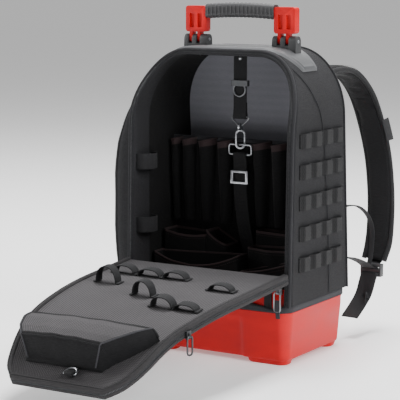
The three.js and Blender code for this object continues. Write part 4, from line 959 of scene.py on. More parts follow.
def make_stage():
    """Camera, pale floor, backdrop and soft lights."""
    lens = bpy.data.cameras.new("View")
    lens.lens, lens.sensor_width, lens.sensor_fit = CAMERA_LENS, CAMERA_SENSOR, "HORIZONTAL"
    camera = bpy.data.objects.new("View", lens)
    camera.location = at(*CAMERA_PLACE)
    camera.rotation_euler = [radians(angle) for angle in CAMERA_TURN]
    bpy.context.scene.collection.objects.link(camera)
    bpy.context.scene.camera = camera

    floor_mesh = bpy.data.meshes.new("studio_floor")
    corners = [(x * FLOOR_REACH, y * FLOOR_REACH, 0) for x, y in ((-1, -1), (1, -1), (1, 1), (-1, 1))]
    floor_mesh.from_pydata(corners, [], [(0, 1, 2, 3)])
    paper = Finish("studio_paper", (0.93, 0.93, 0.93), 0.9)
    fibre = paper.noise(paper.place(), 40, 3)
    tone = paper.mix(fibre, (0.92, 0.92, 0.92), (0.95, 0.95, 0.95))
    paper.shader.inputs["Emission Color"].default_value = (1, 1, 1, 1)
    paper.shader.inputs["Emission Strength"].default_value = PAPER_GLOW
    floor_mesh.materials.append(paper.finish(tone, paper.fit(fibre, 0, 1, 0.85, 0.95), fibre, 0.02, 0.0005))
    show("studio_floor", floor_mesh)

    world = bpy.data.worlds.new("Studio")
    bpy.context.scene.world = world
    world.use_nodes = True
    tree = world.node_tree
    tree.nodes["Background"].inputs["Color"].default_value = (1, 1, 1, 1)
    seen = tree.nodes.new("ShaderNodeLightPath").outputs["Is Camera Ray"]
    strength = tree.nodes.new("ShaderNodeMapRange")
    strength.inputs["To Min"].default_value, strength.inputs["To Max"].default_value = ROOM_LIGHT, ROOM_SEEN
    tree.links.new(seen, strength.inputs["Value"])
    tree.links.new(strength.outputs["Result"], tree.nodes["Background"].inputs["Strength"])
    target = at(0, 0, LIGHT_TARGET_HEIGHT)
    for name, (place, size, source, share) in LIGHTS.items():
        light = bpy.data.lights.new(name, "AREA")
        light.energy, light.size = getattr(sizes(), source) * share, size
        lamp = bpy.data.objects.new(name, light)
        lamp.location = place
        lamp.rotation_euler = look_from(place, target)
        bpy.context.scene.collection.objects.link(lamp)


# Shoulder straps


def strap_frame(line, i):
    tangent = (line[min(i + 1, len(line) - 1)] - line[max(i - 1, 0)]).normalized()
    side = (Vector((1, 0, 0)) - tangent * tangent.x).normalized()
    return side, tangent.cross(side)


def strap_offset(line, across, up):
    result = []
    for i, p in enumerate(line):
        side, out = strap_frame(line, i)
        result.append(p + side * across + out * up)
    return result


def make_shoulder_strap(name, mirror):
    """Padded strap, bound along both edges, with a webbing tab on its outer side."""
    line = [Vector((mirror * p.x, p.y, p.z)) for p in smooth_line(STRAP_LINE, 7)]
    width, thickness = STRAP_SIZE
    section = [(signed_power(cos(a), 0.55), signed_power(sin(a), 0.75)) for a in turns(20)]
    rings, halves = [], []
    for i, p in enumerate(line):
        side, out = strap_frame(line, i)
        share = i / (len(line) - 1)
        end = min(step(share, -0.02, 0.05), 1 - 0.35 * step(share, 0.9, 1.0))
        halves.append((width / 2 - 1.4) * (0.8 + 0.2 * end))
        deep = (thickness / 2 - 1.2) * (0.6 + 0.4 * end)
        rings.append([p + side * halves[-1] * a + out * deep * b for a, b in section])
    padding = Shape().rings(rings).build(f"strap_pad_{name}", "strap_cloth", 60)
    pad = swollen(padding, sizes().strap_swell)
    settle(pad, "pack", [f"shoulder_strap_{name}"])

    trim = Shape()
    for edge in (-1, 1):
        rows = []
        for i, p in enumerate(line):
            side, out = strap_frame(line, i)
            centre = p + side * edge * (halves[i] - 3.4)
            rows.append([centre + side * edge * 4.6 * cos(a) + out * 5.2 * sin(a) for a in turns(12)])
        trim.rings(rows)
    trim.piece(f"strap_binding_{name}", "strap_edge", 60)
    for edge in (-1, 1):
        for face in (-1, 1):
            points = strap_offset(line, edge * (width / 2 - 8), face * (thickness / 2 + 0.6))
            seam("thread_dark", points[3:-4], (0, -face, 0.2))

    outer = Shape()
    out_side = 1 if strap_frame(line, 30)[1].y > 0 else -1
    lift = out_side * (thickness / 2 + 2.4)
    to_buckle = [Vector((mirror * 154, 249, 121)), Vector((mirror * 154, 247, 116))]
    outer.ribbon(strap_offset(line, 0, lift)[26:] + to_buckle, WEBBING_WIDTH, 1.8)
    side_line = strap_offset(line, mirror * (width / 2 + 1), out_side * 3)
    outer.ribbon(side_line[34:40], 20, 2.2, across=(0.2, 1, 0.2))
    outer.piece(f"strap_webbing_tab_{name}", "webbing_cloth", 50)


def make_strap_end(name, mirror):
    """Webbing from the body to the ladder buckle, its loose tail and the thin loop."""

    def flipped(points, steps):
        return [Vector((mirror * p.x, p.y, p.z)) for p in smooth_line(points, steps)]

    def webbing_piece(part, line, width, thickness, nodes):
        shape = Shape().ribbon(line, width, thickness)
        return shape.piece(f"strap_{part}_webbing_{name}", "webbing_cloth", 50, nodes, "webbing")

    webbing_piece("lower", flipped(LOWER_LINE, 8), WEBBING_WIDTH, 1.8, [f"strap_webbing_{name}"])
    webbing_piece("thin", flipped(THIN_LINE, 5), 9, 2, [])
    tail_line = flipped(TAIL_LINE, 8)
    tail = webbing_piece("tail", tail_line, TAIL_WIDTH, 2.4, [f"strap_tail_{name}"])
    length = distances(tail_line, False)[-1] / 1000
    for across in (-14, 14):
        seam("thread_dark", strap_offset(tail_line, across, -1.4)[14:], (0, -1, 0))
        seam("thread_dark", strap_offset(tail_line, across, 1.4)[14:], (0, 1, 0))

    pull = Shape()
    pull.tube(flipped(PULL_KNOT, 6), 1.1, 6)
    pull.tube(flipped(PULL_END, 4), 3, 8)
    pull.piece(f"strap_cord_pull_{name}", "webbing_cloth", 60)

    dressed(f"strap_buckle_{name}", "black_plastic")


# Tub


def tub_ring(inset, z, recess=0.0):
    half, front, back = TUB_WIDTH / 2 - inset, TUB_FRONT + inset, TUB_BACK - inset
    ring = [(x, y, z) for x, y in rounded(-half, half, front, back, max(TUB_CORNER - inset, 2), 12)]
    middle = []
    for x in spread(-92, 92, 47):
        set_back = recess * (1 - step(abs(x), RECESS_HALF, RECESS_HALF + 8))
        middle.append((x, front + set_back, z))
    turn = len(ring) // 4 * 3
    return ring[:turn] + middle + ring[turn:]


def make_tub():
    """Moulded tub with its upstand, a stepped front and four feet."""
    shape = Shape()
    deep = RECESS_DEPTH
    outside = [(14, 1, deep), (11.5, 1.4, deep), (9, 2.6, deep), (7.6, 4.4, deep), (6.9, 7, deep),
               (6.5, 11, deep), (2.4, 60, deep), (2, 64, deep), (1.7, 68, deep * 0.8), (1.3, 73, deep * 0.3),
               (1.1, 76, 0), (1, 84, 0), (0.9, 85.6, 0), (0.2, 86, 0), (0, 86.6, 0), (0.1, 87.6, 0),
               (0.6, 88, 0),
               (UPSTAND_INSET - 0.6, 88, 0), (UPSTAND_INSET, 88.6, 0), (UPSTAND_INSET, 126.6, 0),
               (UPSTAND_INSET + 0.5, 127.7, 0), (UPSTAND_INSET + 1.5, 128, 0)]
    inside = [(UPSTAND_INSET + 2.5, 127.7, 0), (UPSTAND_INSET + 3, 126.6, 0), (UPSTAND_INSET + 3, 82, 0),
              (4, 76, 0), (5, 64, deep), (9.5, 9, deep), (14, 4, deep)]
    shape.rings([tub_ring(*row) for row in outside + inside])
    reach = TUB_WIDTH / 2 - FOOT["inset"]
    for side in (-1, 1):
        for y in (TUB_FRONT + FOOT["inset"], TUB_BACK - FOOT["inset"] - FOOT["depth"]):
            x = -reach if side < 0 else reach - FOOT["width"]
            rings = []
            for inset, z in FOOT["levels"]:
                far_x, far_y = x + FOOT["width"] - inset, y + FOOT["depth"] - inset
                rings.append([(a, b, z) for a, b in rounded(x + inset, far_x, y + inset, far_y, 14, 8)])
            shape.rings(rings)
    shape.piece("moulded_tub", "red_plastic", 32, ["base_tub"], "red_plastic")


def make_binding():
    """Band round the foot of the body, with the cloth lip that hangs over the tub's front."""
    shape = Shape()
    profile = [(-0.6, 88.5), (-1.6, 89.2), (-2, 90.6), (-2, 98.2), (-1.5, 99.6), (-0.4, 100.3), (5.4, 100.3),
               (6, 99.6), (6, 89), (5.4, 88.5)]
    rings = []
    for inset, z in profile:
        ring = []
        for x, y, height in tub_ring(inset, z):
            dip = sum(step(x, low, low + 7) * (1 - step(x, high - 7, high)) for low, high in WINDOWS)
            front = 1 - step(y, TUB_FRONT + 6, TUB_FRONT + 12)
            ring.append((x, y, height - 7.5 * dip * front * step(z, 92, 100)))
        rings.append(ring)
    shape.rings(rings, loop=True)
    shape.piece("body_foot_binding", "edge_tape", 60, ["tub_binding"], "webbing")
    for z in (91.5, 97.5):
        seam("thread_dark", tub_ring(-2.1, z) + tub_ring(-2.1, z)[:1],
             [(p[0], p[1] - 1, 0) for p in tub_ring(-2.1, z) + tub_ring(-2.1, z)[:1]])


def make_front_gusset():
    """Cloth over the front of the upstand, below the lid, and the tape between its windows."""
    near, far, top = TUB_FRONT + UPSTAND_INSET - 1.7, TUB_FRONT + UPSTAND_INSET - 0.3, 137
    shape = Shape()
    rings = []
    for x in spread(-134, WINDOWS[0][0] + 3, 60):
        low = 94 + 44 * step(x, WINDOWS[0][0] - 12, WINDOWS[0][0] + 3) ** 3
        wave = 0.35 * sin(x * 0.11)
        heights = spread(low, top + 1.5, 7)
        rings.append([(x, near + wave, z) for z in heights] + [(x, far, z) for z in reversed(heights)])
    shape.rings(rings)
    left, right = WINDOWS[0][1] + 1, WINDOWS[1][0] + 1
    tape = [(left, far), (left, near - 1.4), (right, near - 1.4), (right, far)]
    shape.rings([[(x, y, z) for x, y in tape] for z in spread(93, top, 8)], finish=1)
    shape.piece("front_gusset", "rim_cloth webbing_cloth", 50)
    for x in (left + 1.8, right - 1.8):
        seam("thread_dark", [(x, near - 1.7, z) for z in spread(99, top - 2, 6)], (0, -1, 0))


# Body


def body_point(x_side, y, z, out=0.0):
    """Point on the body's outside at a height, on the right for 1 and the left for -1."""
    return Vector((x_side * (half_width(z) + out), y, z))


def make_body():
    """Padded wall over both sides and the top, with its lining and piped seams."""
    outer, inner = arch(0), arch(WALL)
    shares = spread(0, 1, 13)
    rings = []
    for (x, z), (a, b) in zip(outer, inner):
        front, back = front_y(z) + RIM_DEPTH + 0.3, back_y(z)
        soft = 0.35
        out_run = [(x, front + (back - front) * s, z) for s in shares]
        in_run = [(a, back + (front - back) * s, b - soft * sin(pi * s)) for s in shares]
        rings.append(out_run + in_run)
    count = len(shares)

    # Outside faces take the body cloth and the two edge faces the rim cloth; the three inner faces nearest
    # the opening take the paler lining as painted light, the other inner faces the darkened lining as painted
    # shade.
    def choose(_ring, i):
        if i < count - 1:
            return 0
        if i < count or i == 2 * count - 1:
            return 2
        return 3 if i >= 2 * count - 4 else 1

    shape = Shape().rings(rings, choose=choose)
    looks = "body_cloth lining_cloth rim_cloth pale_lining"
    wall = shape.piece("body_shell", looks, 50, ["body_wall"], "body_fabric")

    piping = Shape()
    radius = sizes().piping * 1000
    for side in (-1, 1):
        path = smooth_line([(side, y, z) for y, z in SIDE_SEAM], 10)
        line = [body_point(side, p.y, p.z, 0.2) for p in path]
        piping.tube(line, radius, 6)
        for offset in (-4.5, 4.5):
            points = [body_point(side, p.y + offset, p.z, 0.3) for p in path]
            seam("thread_dark", points, (side, 0, 0.1))
    back_line = [(x, back_y(z) - 1, z) for x, z in arch(-0.6)]
    piping.tube(back_line, 2.2, 8)
    front_line = [(x, front_y(z) + RIM_DEPTH + 3, z) for x, z in arch(-0.4)]
    piping.tube(front_line, radius, 6)
    piping.piece("body_piping", "rim_cloth", 60)
    line = [(x, front_y(z) + RIM_DEPTH + 8, z) for x, z in arch(-0.3)]
    seam("thread_dark", line, [(x, 0, max(z - SHOULDER_Z, 0)) for x, z in arch(0)])


def make_rim():
    """Flange round the front opening, with the zip's tape and teeth."""
    profile = [(-1.5, 7), (-1.5, 3.2), (-1.2, 1.6), (-0.4, 0.5), (1, 0), (3, 0), (3.5, 0.9), (6.6, 0.9),
               (7.1, 0), (8.6, 0.1), (9.7, 0.7), (10.4, 1.9), (10.5, 3.4), (10.5, 7)]
    outlines = [arch(inset) for inset, _deep in profile]
    edge = arch(0)
    rings = []
    for i, (_x, z) in enumerate(edge):
        y = front_y(z)
        rings.append([(outlines[k][i][0], y + profile[k][1], outlines[k][i][1]) for k in range(len(profile))])
    choose = lambda _r, i: 1 if 4 < i < 8 else 0
    shape = Shape().rings(rings, choose=choose)
    shape.piece("opening_rim", "rim_cloth webbing_cloth", 60, ["front_rim"], "body_fabric")
    track = arch(5)
    seam("zip_teeth", [(x, front_y(edge[i][1]) + 0.6, z) for i, (x, z) in enumerate(track)], (0, -1, 0))
    for inset in (0.9, 8.8):
        line = arch(inset)
        seam("thread_dark", [(x, front_y(edge[i][1]) + 0.1, z) for i, (x, z) in enumerate(line)], (0, -1, 0))


def make_back():
    """Padded back: two tall cushions and a lumbar pad with channels between, under spacer mesh."""
    levels = spread(BASE, SHOULDER_Z, 34)[:-1]
    levels += [SHOULDER_Z + SHOULDER_HEIGHT * share for share in spread(0, 0.965, 20)]
    columns = spread(-1, 1, 41)
    rings = []
    for z in levels:
        w = half_width(z) - 2
        near = back_y(z) + 0.3
        row = []
        for c in columns:
            x = w * c
            edge = min(1 - abs(c), 0.16) / 0.16
            rounding = sqrt(max(1 - (1 - edge) ** 2, 0))
            top = step(z, levels[-1], levels[-1] - 40)
            channel = 1 - 0.55 * (1 - step(abs(x), 6, 16))
            cross = min(abs(z - 205), abs(z - 330))
            channel *= 1 - 0.5 * (1 - step(cross, 4, 13))
            deep = 3 + 11 * rounding * (0.35 + 0.65 * top) * channel
            row.append((x, near + deep, z))
        rings.append([(w, near, z), (-w, near, z)] + row)
    # The flat inner face towards the opening takes the much paler lining: painted light on the back wall.
    shape = Shape().rings(rings, choose=lambda _r, i: 1 if i == 0 else 0)
    piece = shape.piece("back_padding", "spacer_mesh back_lining", 60, ["back_panel"], "body_fabric")
    binding = Shape()
    outline = [(half_width(z) - 2.5, back_y(z) + 4, z) for z in levels]
    outline += [(-x, y, z) for x, y, z in reversed(outline)]
    binding.tube(outline, 2.2, 8)
    binding.piece("back_binding", "edge_tape", 60)


# Top and handle


def make_plate():
    """Moulded plate over the top, with a raised panel at either end."""
    start = 43
    low, high = arch(-0.3, start, steps=26), arch(-4.3, start, steps=26)
    end_x, crown_x = low[0][0], HALF - SHOULDER_WIDTH
    run = distances([(x, 0, z) for x, z in high], False)
    rings = []
    for i, ((x, z), (a, b)) in enumerate(zip(low, high)):
        share = min(max((abs(x) - crown_x) / (end_x - crown_x), 0), 1) ** 2
        front, back = -47 + 27 * share, 50 - 18 * share
        from_end = min(run[i], run[-1] - run[i])
        ring = [(x, front, z), (x, back, z)]
        for s in reversed(spread(0, 1, 25)):
            y = front + (back - front) * s
            side = min(y - front, back - y)
            edge = min(side / 2.2, from_end / 2.2, 1)
            lift = sqrt(max(1 - (1 - edge) ** 2, 0))
            inner = min(side - 7 - from_end * 0.05, from_end - 5, 58 - from_end)
            raised = 0.35 * step(inner, 0, 1.5) - 0.18 * step(inner, 3.5, 5)
            height = lift * (1 + raised)
            ring.append((x + (a - x) * height, y, z + (b - z) * height))
        rings.append(ring)
    Shape().rings(rings).piece("moulded_top_plate", "grey_plastic", 30, ["top_plate"], "grey_plastic")


def make_handle():
    """Moulded ends, brackets, pins and the ribbed grip."""
    for name in ("left", "right"):
        dressed(f"handle_bracket_{name}", "bracket_plastic")
        dressed(f"handle_pin_{name}", "plated_steel", 0.0005)
        dressed(f"handle_end_{name}", "red_plastic", body="handle")
    reach = HANDLE_SPREAD - END_WIDTH / 2 - 0.3
    deep, high = GRIP_DEPTH / 2 - 0.8, GRIP_HEIGHT / 2 - 0.8
    section = rounded(-deep, deep, -high, high, 8, 8)
    rings = []
    for share in spread(-1, 1, 41):
        lift = GRIP_CENTRE + GRIP_ARCH * (1 - share * share)
        ring = []
        for y, z in section:
            groove = 1 - 0.09 * sum(1 - step(abs(z - g), 0.4, 2.2) for g in (-3.8, 4.4))
            ring.append((reach * share, HANDLE_Y + y * groove, lift + z))
        rings.append(ring)
    Shape().rings(rings).piece("grip_core", "black_plastic", 40, ["handle_grip"], "black_plastic", "handle")
    ribs = grown("grip_ribs", grip_ribs_tree(), {
        "Reach": (reach - 6) / 1000, "Depth": (GRIP_DEPTH - 2) / 1000, "Height": (GRIP_HEIGHT - 2) / 1000,
        "Arch": GRIP_ARCH / 1000, "Rib": 0.0009, "Corner": 0.008, "Ribs": sizes().grip_ribs,
        "Centre": tuple(at(0, HANDLE_Y, GRIP_CENTRE)), "Finish": finish_named("black_plastic"),
    })
    settle(ribs, "handle", [])


# Sides


def make_side_pocket():
    """Bulging pocket on the left side, with its zip over the top and down both edges."""
    bottom, top, reach = 108, 442, 58
    levels = [0, 0.012, 0.03, 0.06, 0.1, 0.16, 0.23] + spread(0.3, 0.76, 9) + spread(0.79, 0.985, 10) + [1]
    rings, zip_front, zip_back = [], [], []
    for up in levels:
        share = straight_at(POCKET_PROFILE, up) if up < 0.03 else smooth_at(POCKET_PROFILE, up)
        z = bottom + (top - bottom) * up
        trim = 30 * (1 - share)
        crease = 0.5 * (sin(z * 0.043) + sin(z * 0.017 + 1)) * sin(pi * up)
        outline = bulge(max(reach * share - 1 + crease, 1), -98 + trim, 62 - trim, 26)
        rings.append([(-HALF - 0.3 - out, y, z) for out, y in outline])
        if 0.06 < up < 0.99:
            zip_front.append(rings[-1][4])
            zip_back.append(rings[-1][-5])
    piece = Shape().rings(rings).piece("side_pocket_shell", "body_cloth", 60, ["side_pocket"], "body_fabric")
    line = zip_front + list(reversed(zip_back))
    trim = Shape().tube([Vector(p) + Vector((-0.3, 0, 0)) for p in line], 2.0, 8, flat=0.6)
    trim.tube(rings[2], 1.5, 8)
    trim.piece("side_pocket_zip_tape", "webbing_cloth", 60)
    seam("zip_teeth", [Vector(p) + Vector((-1.9, 0, 0)) for p in line], (-1, 0, 0))


def make_webbing_rows():
    """Five rows of looped webbing on the right side."""
    face, front, back, top = HALF + SKIN_GAP, -76, 84, 395
    corner = at(face, front, top)
    values = {
        "Face": corner.x, "Front": corner.y, "Back": corner.y + (back - front) / 1000, "Top": corner.z,
        "Width": WEBBING_WIDTH / 1000, "Thickness": 0.0016, "Rise": 0.0058, "Loops": 4.0,
        "Row Pitch": ROW_PITCH / 1000, "Rows": ROW_COUNT, "Finish": finish_named("row_webbing"),
    }
    rows = grown("looped_webbing", webbing_rows_tree(), values, smooth=50)
    settle(rows, "pack", [f"webbing_row_{n}" for n in range(1, 6)])
    for row in range(ROW_COUNT):
        high = top - row * ROW_PITCH
        for bar in range(5):
            y = min(max(front + bar * 40, front + 1.6), back - 1.6)
            for offset in (-1.3, 1.3):
                bar_line = [(face + 2.1, y + offset, high - down) for down in (2, 23)]
                seam("thread_dark", bar_line, (1, 0, 0))


# Inside


def shell_of(outlines, finish_mouth=1, mouth_levels=2):
    """Chooser for an open pocket whose outlines go up its outside and down its inside."""
    count = len(outlines) // 2

    def choose(ring, _i):
        return finish_mouth if abs(ring + 0.5 - (count - 0.5)) <= mouth_levels else 0

    return choose


def make_board():
    """Board across the inside, faced with lining and bound at its top."""
    half, low, high = 157.5, 128.6, 368
    shape = Shape()
    front, back = BOARD_FRONT, BOARD_FRONT + 3
    outline = [(front + 0.6, low), (front, low + 0.6), (front, high - 7), (front - 0.2, high - 1),
               (front + 1.5, high), (back + 0.2, high - 1), (back, high - 7), (back, low + 0.6),
               (back - 0.6, low)]
    shape.rings([[(x, y, z) for y, z in outline] for x in spread(-half, half, 30)],
                choose=lambda _r, i: 1 if 2 <= i <= 5 else 0)
    shape.piece("lined_board", "lining_cloth edge_tape", 50, ["tool_board"], "lining")
    seam("thread_dark", [(x, front - 0.3, high - 8.5) for x in spread(-half + 3, half - 3, 20)], (0, -1, 0))


def make_sleeves():
    """Tool sleeves sewn on strips of lining, bound at their mouths."""
    back, low, mouth = BOARD_FRONT - 0.3, 212, 362
    strips = {"left": (-155, -23), "right": (17, 127)}
    for row, (left, right) in strips.items():
        shape = Shape()
        strip = [(left, back), (left, back - 1.6), (right, back - 1.6), (right, back)]
        shape.rings([[(x, y, z) for x, y in strip] for z in (low, 280, mouth - 8)])
        for x, width in SLEEVES:
            if not left <= x <= right:
                continue
            levels = spread(0, 1, 15) + [1.0]
            outside, inside = [], []
            for k, up in enumerate(levels):
                share = 0.62 + 0.38 * up**0.8
                flare = 1 + (0.05 * step(up, 0.9, 1) if k < 15 else 0)
                half, out = width * share / 2, 22 * share * flare
                pinch = 1 - 0.05 * sin(up * 9 + x)
                lean = 0.22 * step(up, 0.75, 1)
                z = low + (mouth - low) * up
                outer = bulge(out * pinch, x - half, x + half, 16, 2.4)
                inner = bulge(max(out * pinch - 2.6, 1), x - half + 1.6, x + half - 1.6, 16, 2.4)
                outside.append([(a, back - o, z + lean * (a - x)) for o, a in outer])
                inside.append([(a, back - 1.4 - o * 0.96, z + lean * (a - x)) for o, a in inner])
            rings = outside[:-1] + list(reversed(inside[:-1]))
            rings[0] = outside[0]
            inner_low = [(a, y, z + 2) for a, y, z in rings[-1]]
            rings[-1] = inner_low
            shape.rings(rings, choose=shell_of(rings, 1, 1.2))
            rim_line = outside[14]
            shape.tube(rim_line, 1.5, 6, finish=1)
            seam("thread_brown", [(a, y - 1.2, z - 4) for a, y, z in outside[14]],
                 [((a - x) * 0.5, y - back - 6, 0) for a, y, z in outside[14]])
            for edge in (x - width / 2 - 2, x + width / 2 + 2):
                if left + 1 < edge < right - 1:
                    line = [(edge, back - 1.9, z) for z in spread(low + 4, mouth - 12, 8)]
                    seam("thread_dark", line, (0, -1, 0))
        name = f"tool_sleeves_{row}"
        shape.piece(f"sewn_sleeves_{row}", "lining_cloth binding_tape", 50, [name], "lining")


def make_pockets():
    """Open pockets below the sleeves, bound and stitched at their mouths."""
    for name, parts in POCKETS.items():
        shape = Shape()
        for left, right, front, back, bottom, (start, middle, end) in parts:
            sag = middle - (start + end) / 2
            forward = 0 if name == "middle_pocket" or front > -20 else 3.5

            def mouth_at(x):
                share = (x - left) / (right - left)
                return start + (end - start) * share + sag * 4 * share * (1 - share)

            def outline(inset, up):
                line = rounded(left + inset, right - inset, front + inset, back - inset, 4, 4)
                run = len(line) // 4 * 3
                front_run = [(x, front + inset) for x in spread(left + 8, right - 8, 20)]
                line = line[:run] + front_run + line[run:]
                ring = []
                for x, y in line:
                    share = (x - left) / (right - left)
                    belly = forward * sin(pi * min(max(share, 0), 1)) * (0.3 + 0.7 * up)
                    near = (back - y) / (back - front)
                    wave = 0.9 * sin(x * 0.13 + up * 4) * near * (0.4 + up)
                    ring.append((x, y - (belly + (wave if forward else 0)) * max(near, 0),
                                 bottom + inset + (mouth_at(x) - bottom - inset) * up))
                return ring

            ups = [0, 0.03, 0.1, 0.25, 0.45, 0.65, 0.8, 0.9, 0.97, 1]
            rings = [outline(0, up) for up in ups] + [outline(1.8, up) for up in reversed(ups)]
            shape.rings(rings, choose=shell_of(rings, 1, 1.2))
            rim_line = outline(0.9, 1)
            shape.tube(rim_line, 1.7, 6, loop=True, finish=1)
            line = [(x, y - 0.4, z - 5.5) for x, y, z in outline(0, 1) if y < (front + back) / 2]
            seam("thread_brown", sorted(line), (0, -1, 0))
        shape.piece(f"sewn_{name}", "lining_cloth binding_tape", 50, [name], "lining")


def make_wall_loops():
    """Two elastic loops on the left inner wall."""
    wall = -HALF + WALL + 0.3
    for name, middle in (("upper", 330), ("lower", 215)):
        line = [(wall + out, y, middle) for out, y in bulge(23, -91, -45, 28, 2.4)]
        shape = Shape().ribbon(line, 28, 1.8, across=(0, 0, 1))
        shape.piece(f"elastic_loop_{name}", "webbing_cloth", 50, [f"wall_loop_{name}"], "webbing")


def make_centre_strap():
    """Webbing with steel rings, a snap hook and a slider, down the middle of the inside."""
    y = STRAP_Y
    line = [(0, y + 18, 523.6), (0, y + 6, 523.6), (0, y + 1, 522), (0, y - 0.2, 516), (0, y - 0.4, 470),
            (0, y - 0.8, 425)]
    loop = [(0, y - 3.3 * cos(radians(a)), 410 - 3.3 * sin(radians(a))) for a in spread(-20, 205, 14)]
    shape = Shape().ribbon(line + loop + [(0, y + 1.4, 420), (0, y + 1.2, 436)], STRAP_WIDTH, 1.4)
    shape.piece("upper_strap_webbing", "webbing_cloth", 50, ["centre_strap_upper"], "webbing")
    loop = [(0, y - 3.3 * cos(radians(a)), 342 + 3.3 * sin(radians(a))) for a in spread(-20, 205, 14)]
    line = smooth_line([(0, y - 0.6, 328), (0, y, 300), (0, y, 280), (4, y + 0.6, 240), (8.5, y + 4, 200),
                        (10, y + 14, 172), (10, BOARD_FRONT - 4, 155), (10, BOARD_FRONT - 1.4, 141)], 8)
    shape = Shape().ribbon([(0, y + 1.2, 318), (0, y + 1.6, 334)] + loop[::-1] + [tuple(p) for p in line],
                           STRAP_WIDTH, 1.4)
    shape.piece("lower_strap_webbing", "row_webbing", 50, ["centre_strap_lower"], "webbing")
    for z in (430, 434, 324, 320):
        seam("thread_dark", [(x, y - 2, z) for x in (-11, 11)], (0, -1, 0))

    frame_box = Shape()
    half, top = STRAP_WIDTH / 2, 476
    outer = rounded(-half - 4, half + 4, y - 5, y + 3.4, 2, 4)
    inner = rounded(-half - 0.6, half + 0.6, y - 1.4, y + 1.4, 0.8, 4)
    rows = [[(a, b, top - 11 + 0.4) for a, b in outer], [(a, b, top - 0.4) for a, b in outer],
            [(a, b, top) for a, b in inner], [(a, b, top - 11) for a, b in inner]]
    frame_box.rings(rows, loop=True, finish=1)
    ring = [(12 * cos(a), y - 3.4, top - 17 + 12 * sin(a)) for a in turns(40)]
    frame_box.tube(ring, 1.6, 10, loop=True)
    frame_box.piece("round_ring", "ring_metal slider_metal", 40, ["centre_strap_ring"], "steel")
    dome = [(3.8, -0.7), (3.8, -1.3), (3.2, -2.2), (1.8, -2.9), (0.3, -3.2)]
    rows = [[(r * cos(a), y - 0.4 + out, 515 + r * sin(a)) for a in turns(16)] for r, out in dome]
    rivet = Shape().rings(rows)
    rivet.piece("strap_rivet", "plated_steel", 40)

    bar, reach = 410, STRAP_WIDTH / 2 + 4
    corners = [(-reach + 2, bar), (reach - 2, bar), (reach, bar - 2.5), (reach - 2, bar - 6), (4, bar - 16),
               (1.5, bar - 17), (-1.5, bar - 17), (-4, bar - 16), (-reach + 2, bar - 6), (-reach, bar - 2.5)]
    triangle = Shape().tube([(a, y, b) for a, b in corners], 1.6, 10, loop=True)
    triangle.piece("triangle_wire", "ring_metal", 60, ["triangle_ring"], "steel")
    wide = [(a, y, b) for a, b in rounded(-23, 23, 342, 359.8, 4, 6)]
    Shape().tube(wide, 1.6, 10, loop=True).piece("wide_wire", "plated_steel", 60, ["wide_ring"], "steel")
    dressed("snap_hook", "plated_steel", 0.0007)
    dressed("snap_gate", "plated_steel", 0.0005, "gate")
    dressed("centre_strap_slider", "plated_steel", 0.0006)
    for name in ("left", "right"):
        dressed(f"ceiling_rivet_{name}", "plated_steel", 0.0004)


# Lid


def lid_path(inset, height, stations=64):
    """Line round the lid at an inset from its edge, from the right of the hinge to its left."""
    end = 1 - inset / LID_LENGTH
    points = [(lid_half(min(along, 1)) - inset, along) for along in spread(0, end, stations)]
    tip = points[-1][0]
    points += [(tip * share, end) for share in (0.9, 0.75, 0.5, 0.25, 0)]
    points += [(-x, along) for x, along in points[-2::-1]]
    return [lid_at(along, x, height) for x, along in points]


def make_lid():
    """Folded-down lid: quilted panel, its padded rim with the zip, and the hinge strip."""
    rows, columns = spread(0, 1 - (LID_RIM + 0.3) / LID_LENGTH, 72), spread(-1, 1, 45)
    rings = []
    for along in rows:
        w = lid_half(along) - LID_RIM - 0.3
        top = []
        for c in columns:
            edge = 1 - abs(c)
            dip = -0.9 * step(edge, 0, 0.1) * (0.6 + 0.4 * sin(along * 23) * sin(c * 5))
            top.append(lid_at(along, w * c, -LID_SINK + dip))
        bottom = [lid_at(along, w * c, -LID_SINK - 11 + 0.8 * (1 - abs(c))) for c in reversed(columns)]
        rings.append(top + bottom)
    shape = Shape().rings(rings, choose=lambda _r, i: 0 if i < len(columns) - 1 else 1)
    panel = shape.piece("lid_lining", "lid_cloth body_cloth", 50, ["lid_panel"], "lid_fabric")

    paths = [lid_path(inset, height) for inset, height in LID_RIM_SECTION]
    rings = [list(ring) for ring in zip(*paths)]
    choose = lambda _r, i: 1 if i in (5, 6) or 15 < i < 19 else 0
    shape = Shape().rings(rings, choose=choose)
    rim = shape.piece("lid_padded_rim", "lid_edge webbing_cloth", 55, ["lid_rim"], "body_fabric")
    edge = lid_path(0.5, -9.3)
    seam("zip_teeth", edge, [(p[0], p[1] + 200, 0) for p in edge])
    seam("thread_dark", lid_path(4.2, -0.5), (0, 0, 1))
    seam("thread_dark", lid_path(8.9, 0.2), (0, 0, 1))

    half = TUB_WIDTH / 2 - TUB_CORNER - 2
    inside = TUB_FRONT + UPSTAND_INSET + 3 + 0.3 + 1.5
    line = smooth_line([(0, inside, 102), (0, inside, 118), (0, inside, 136), (0, inside - 4, 146.4),
                        (0, LID_START + 2, 148.4)], 6)
    strip = Shape().ribbon(line, 2 * half, 2.4)
    strip.piece("lid_hinge_cloth", "lid_edge", 50, ["lid_hinge"], "lid_fabric")


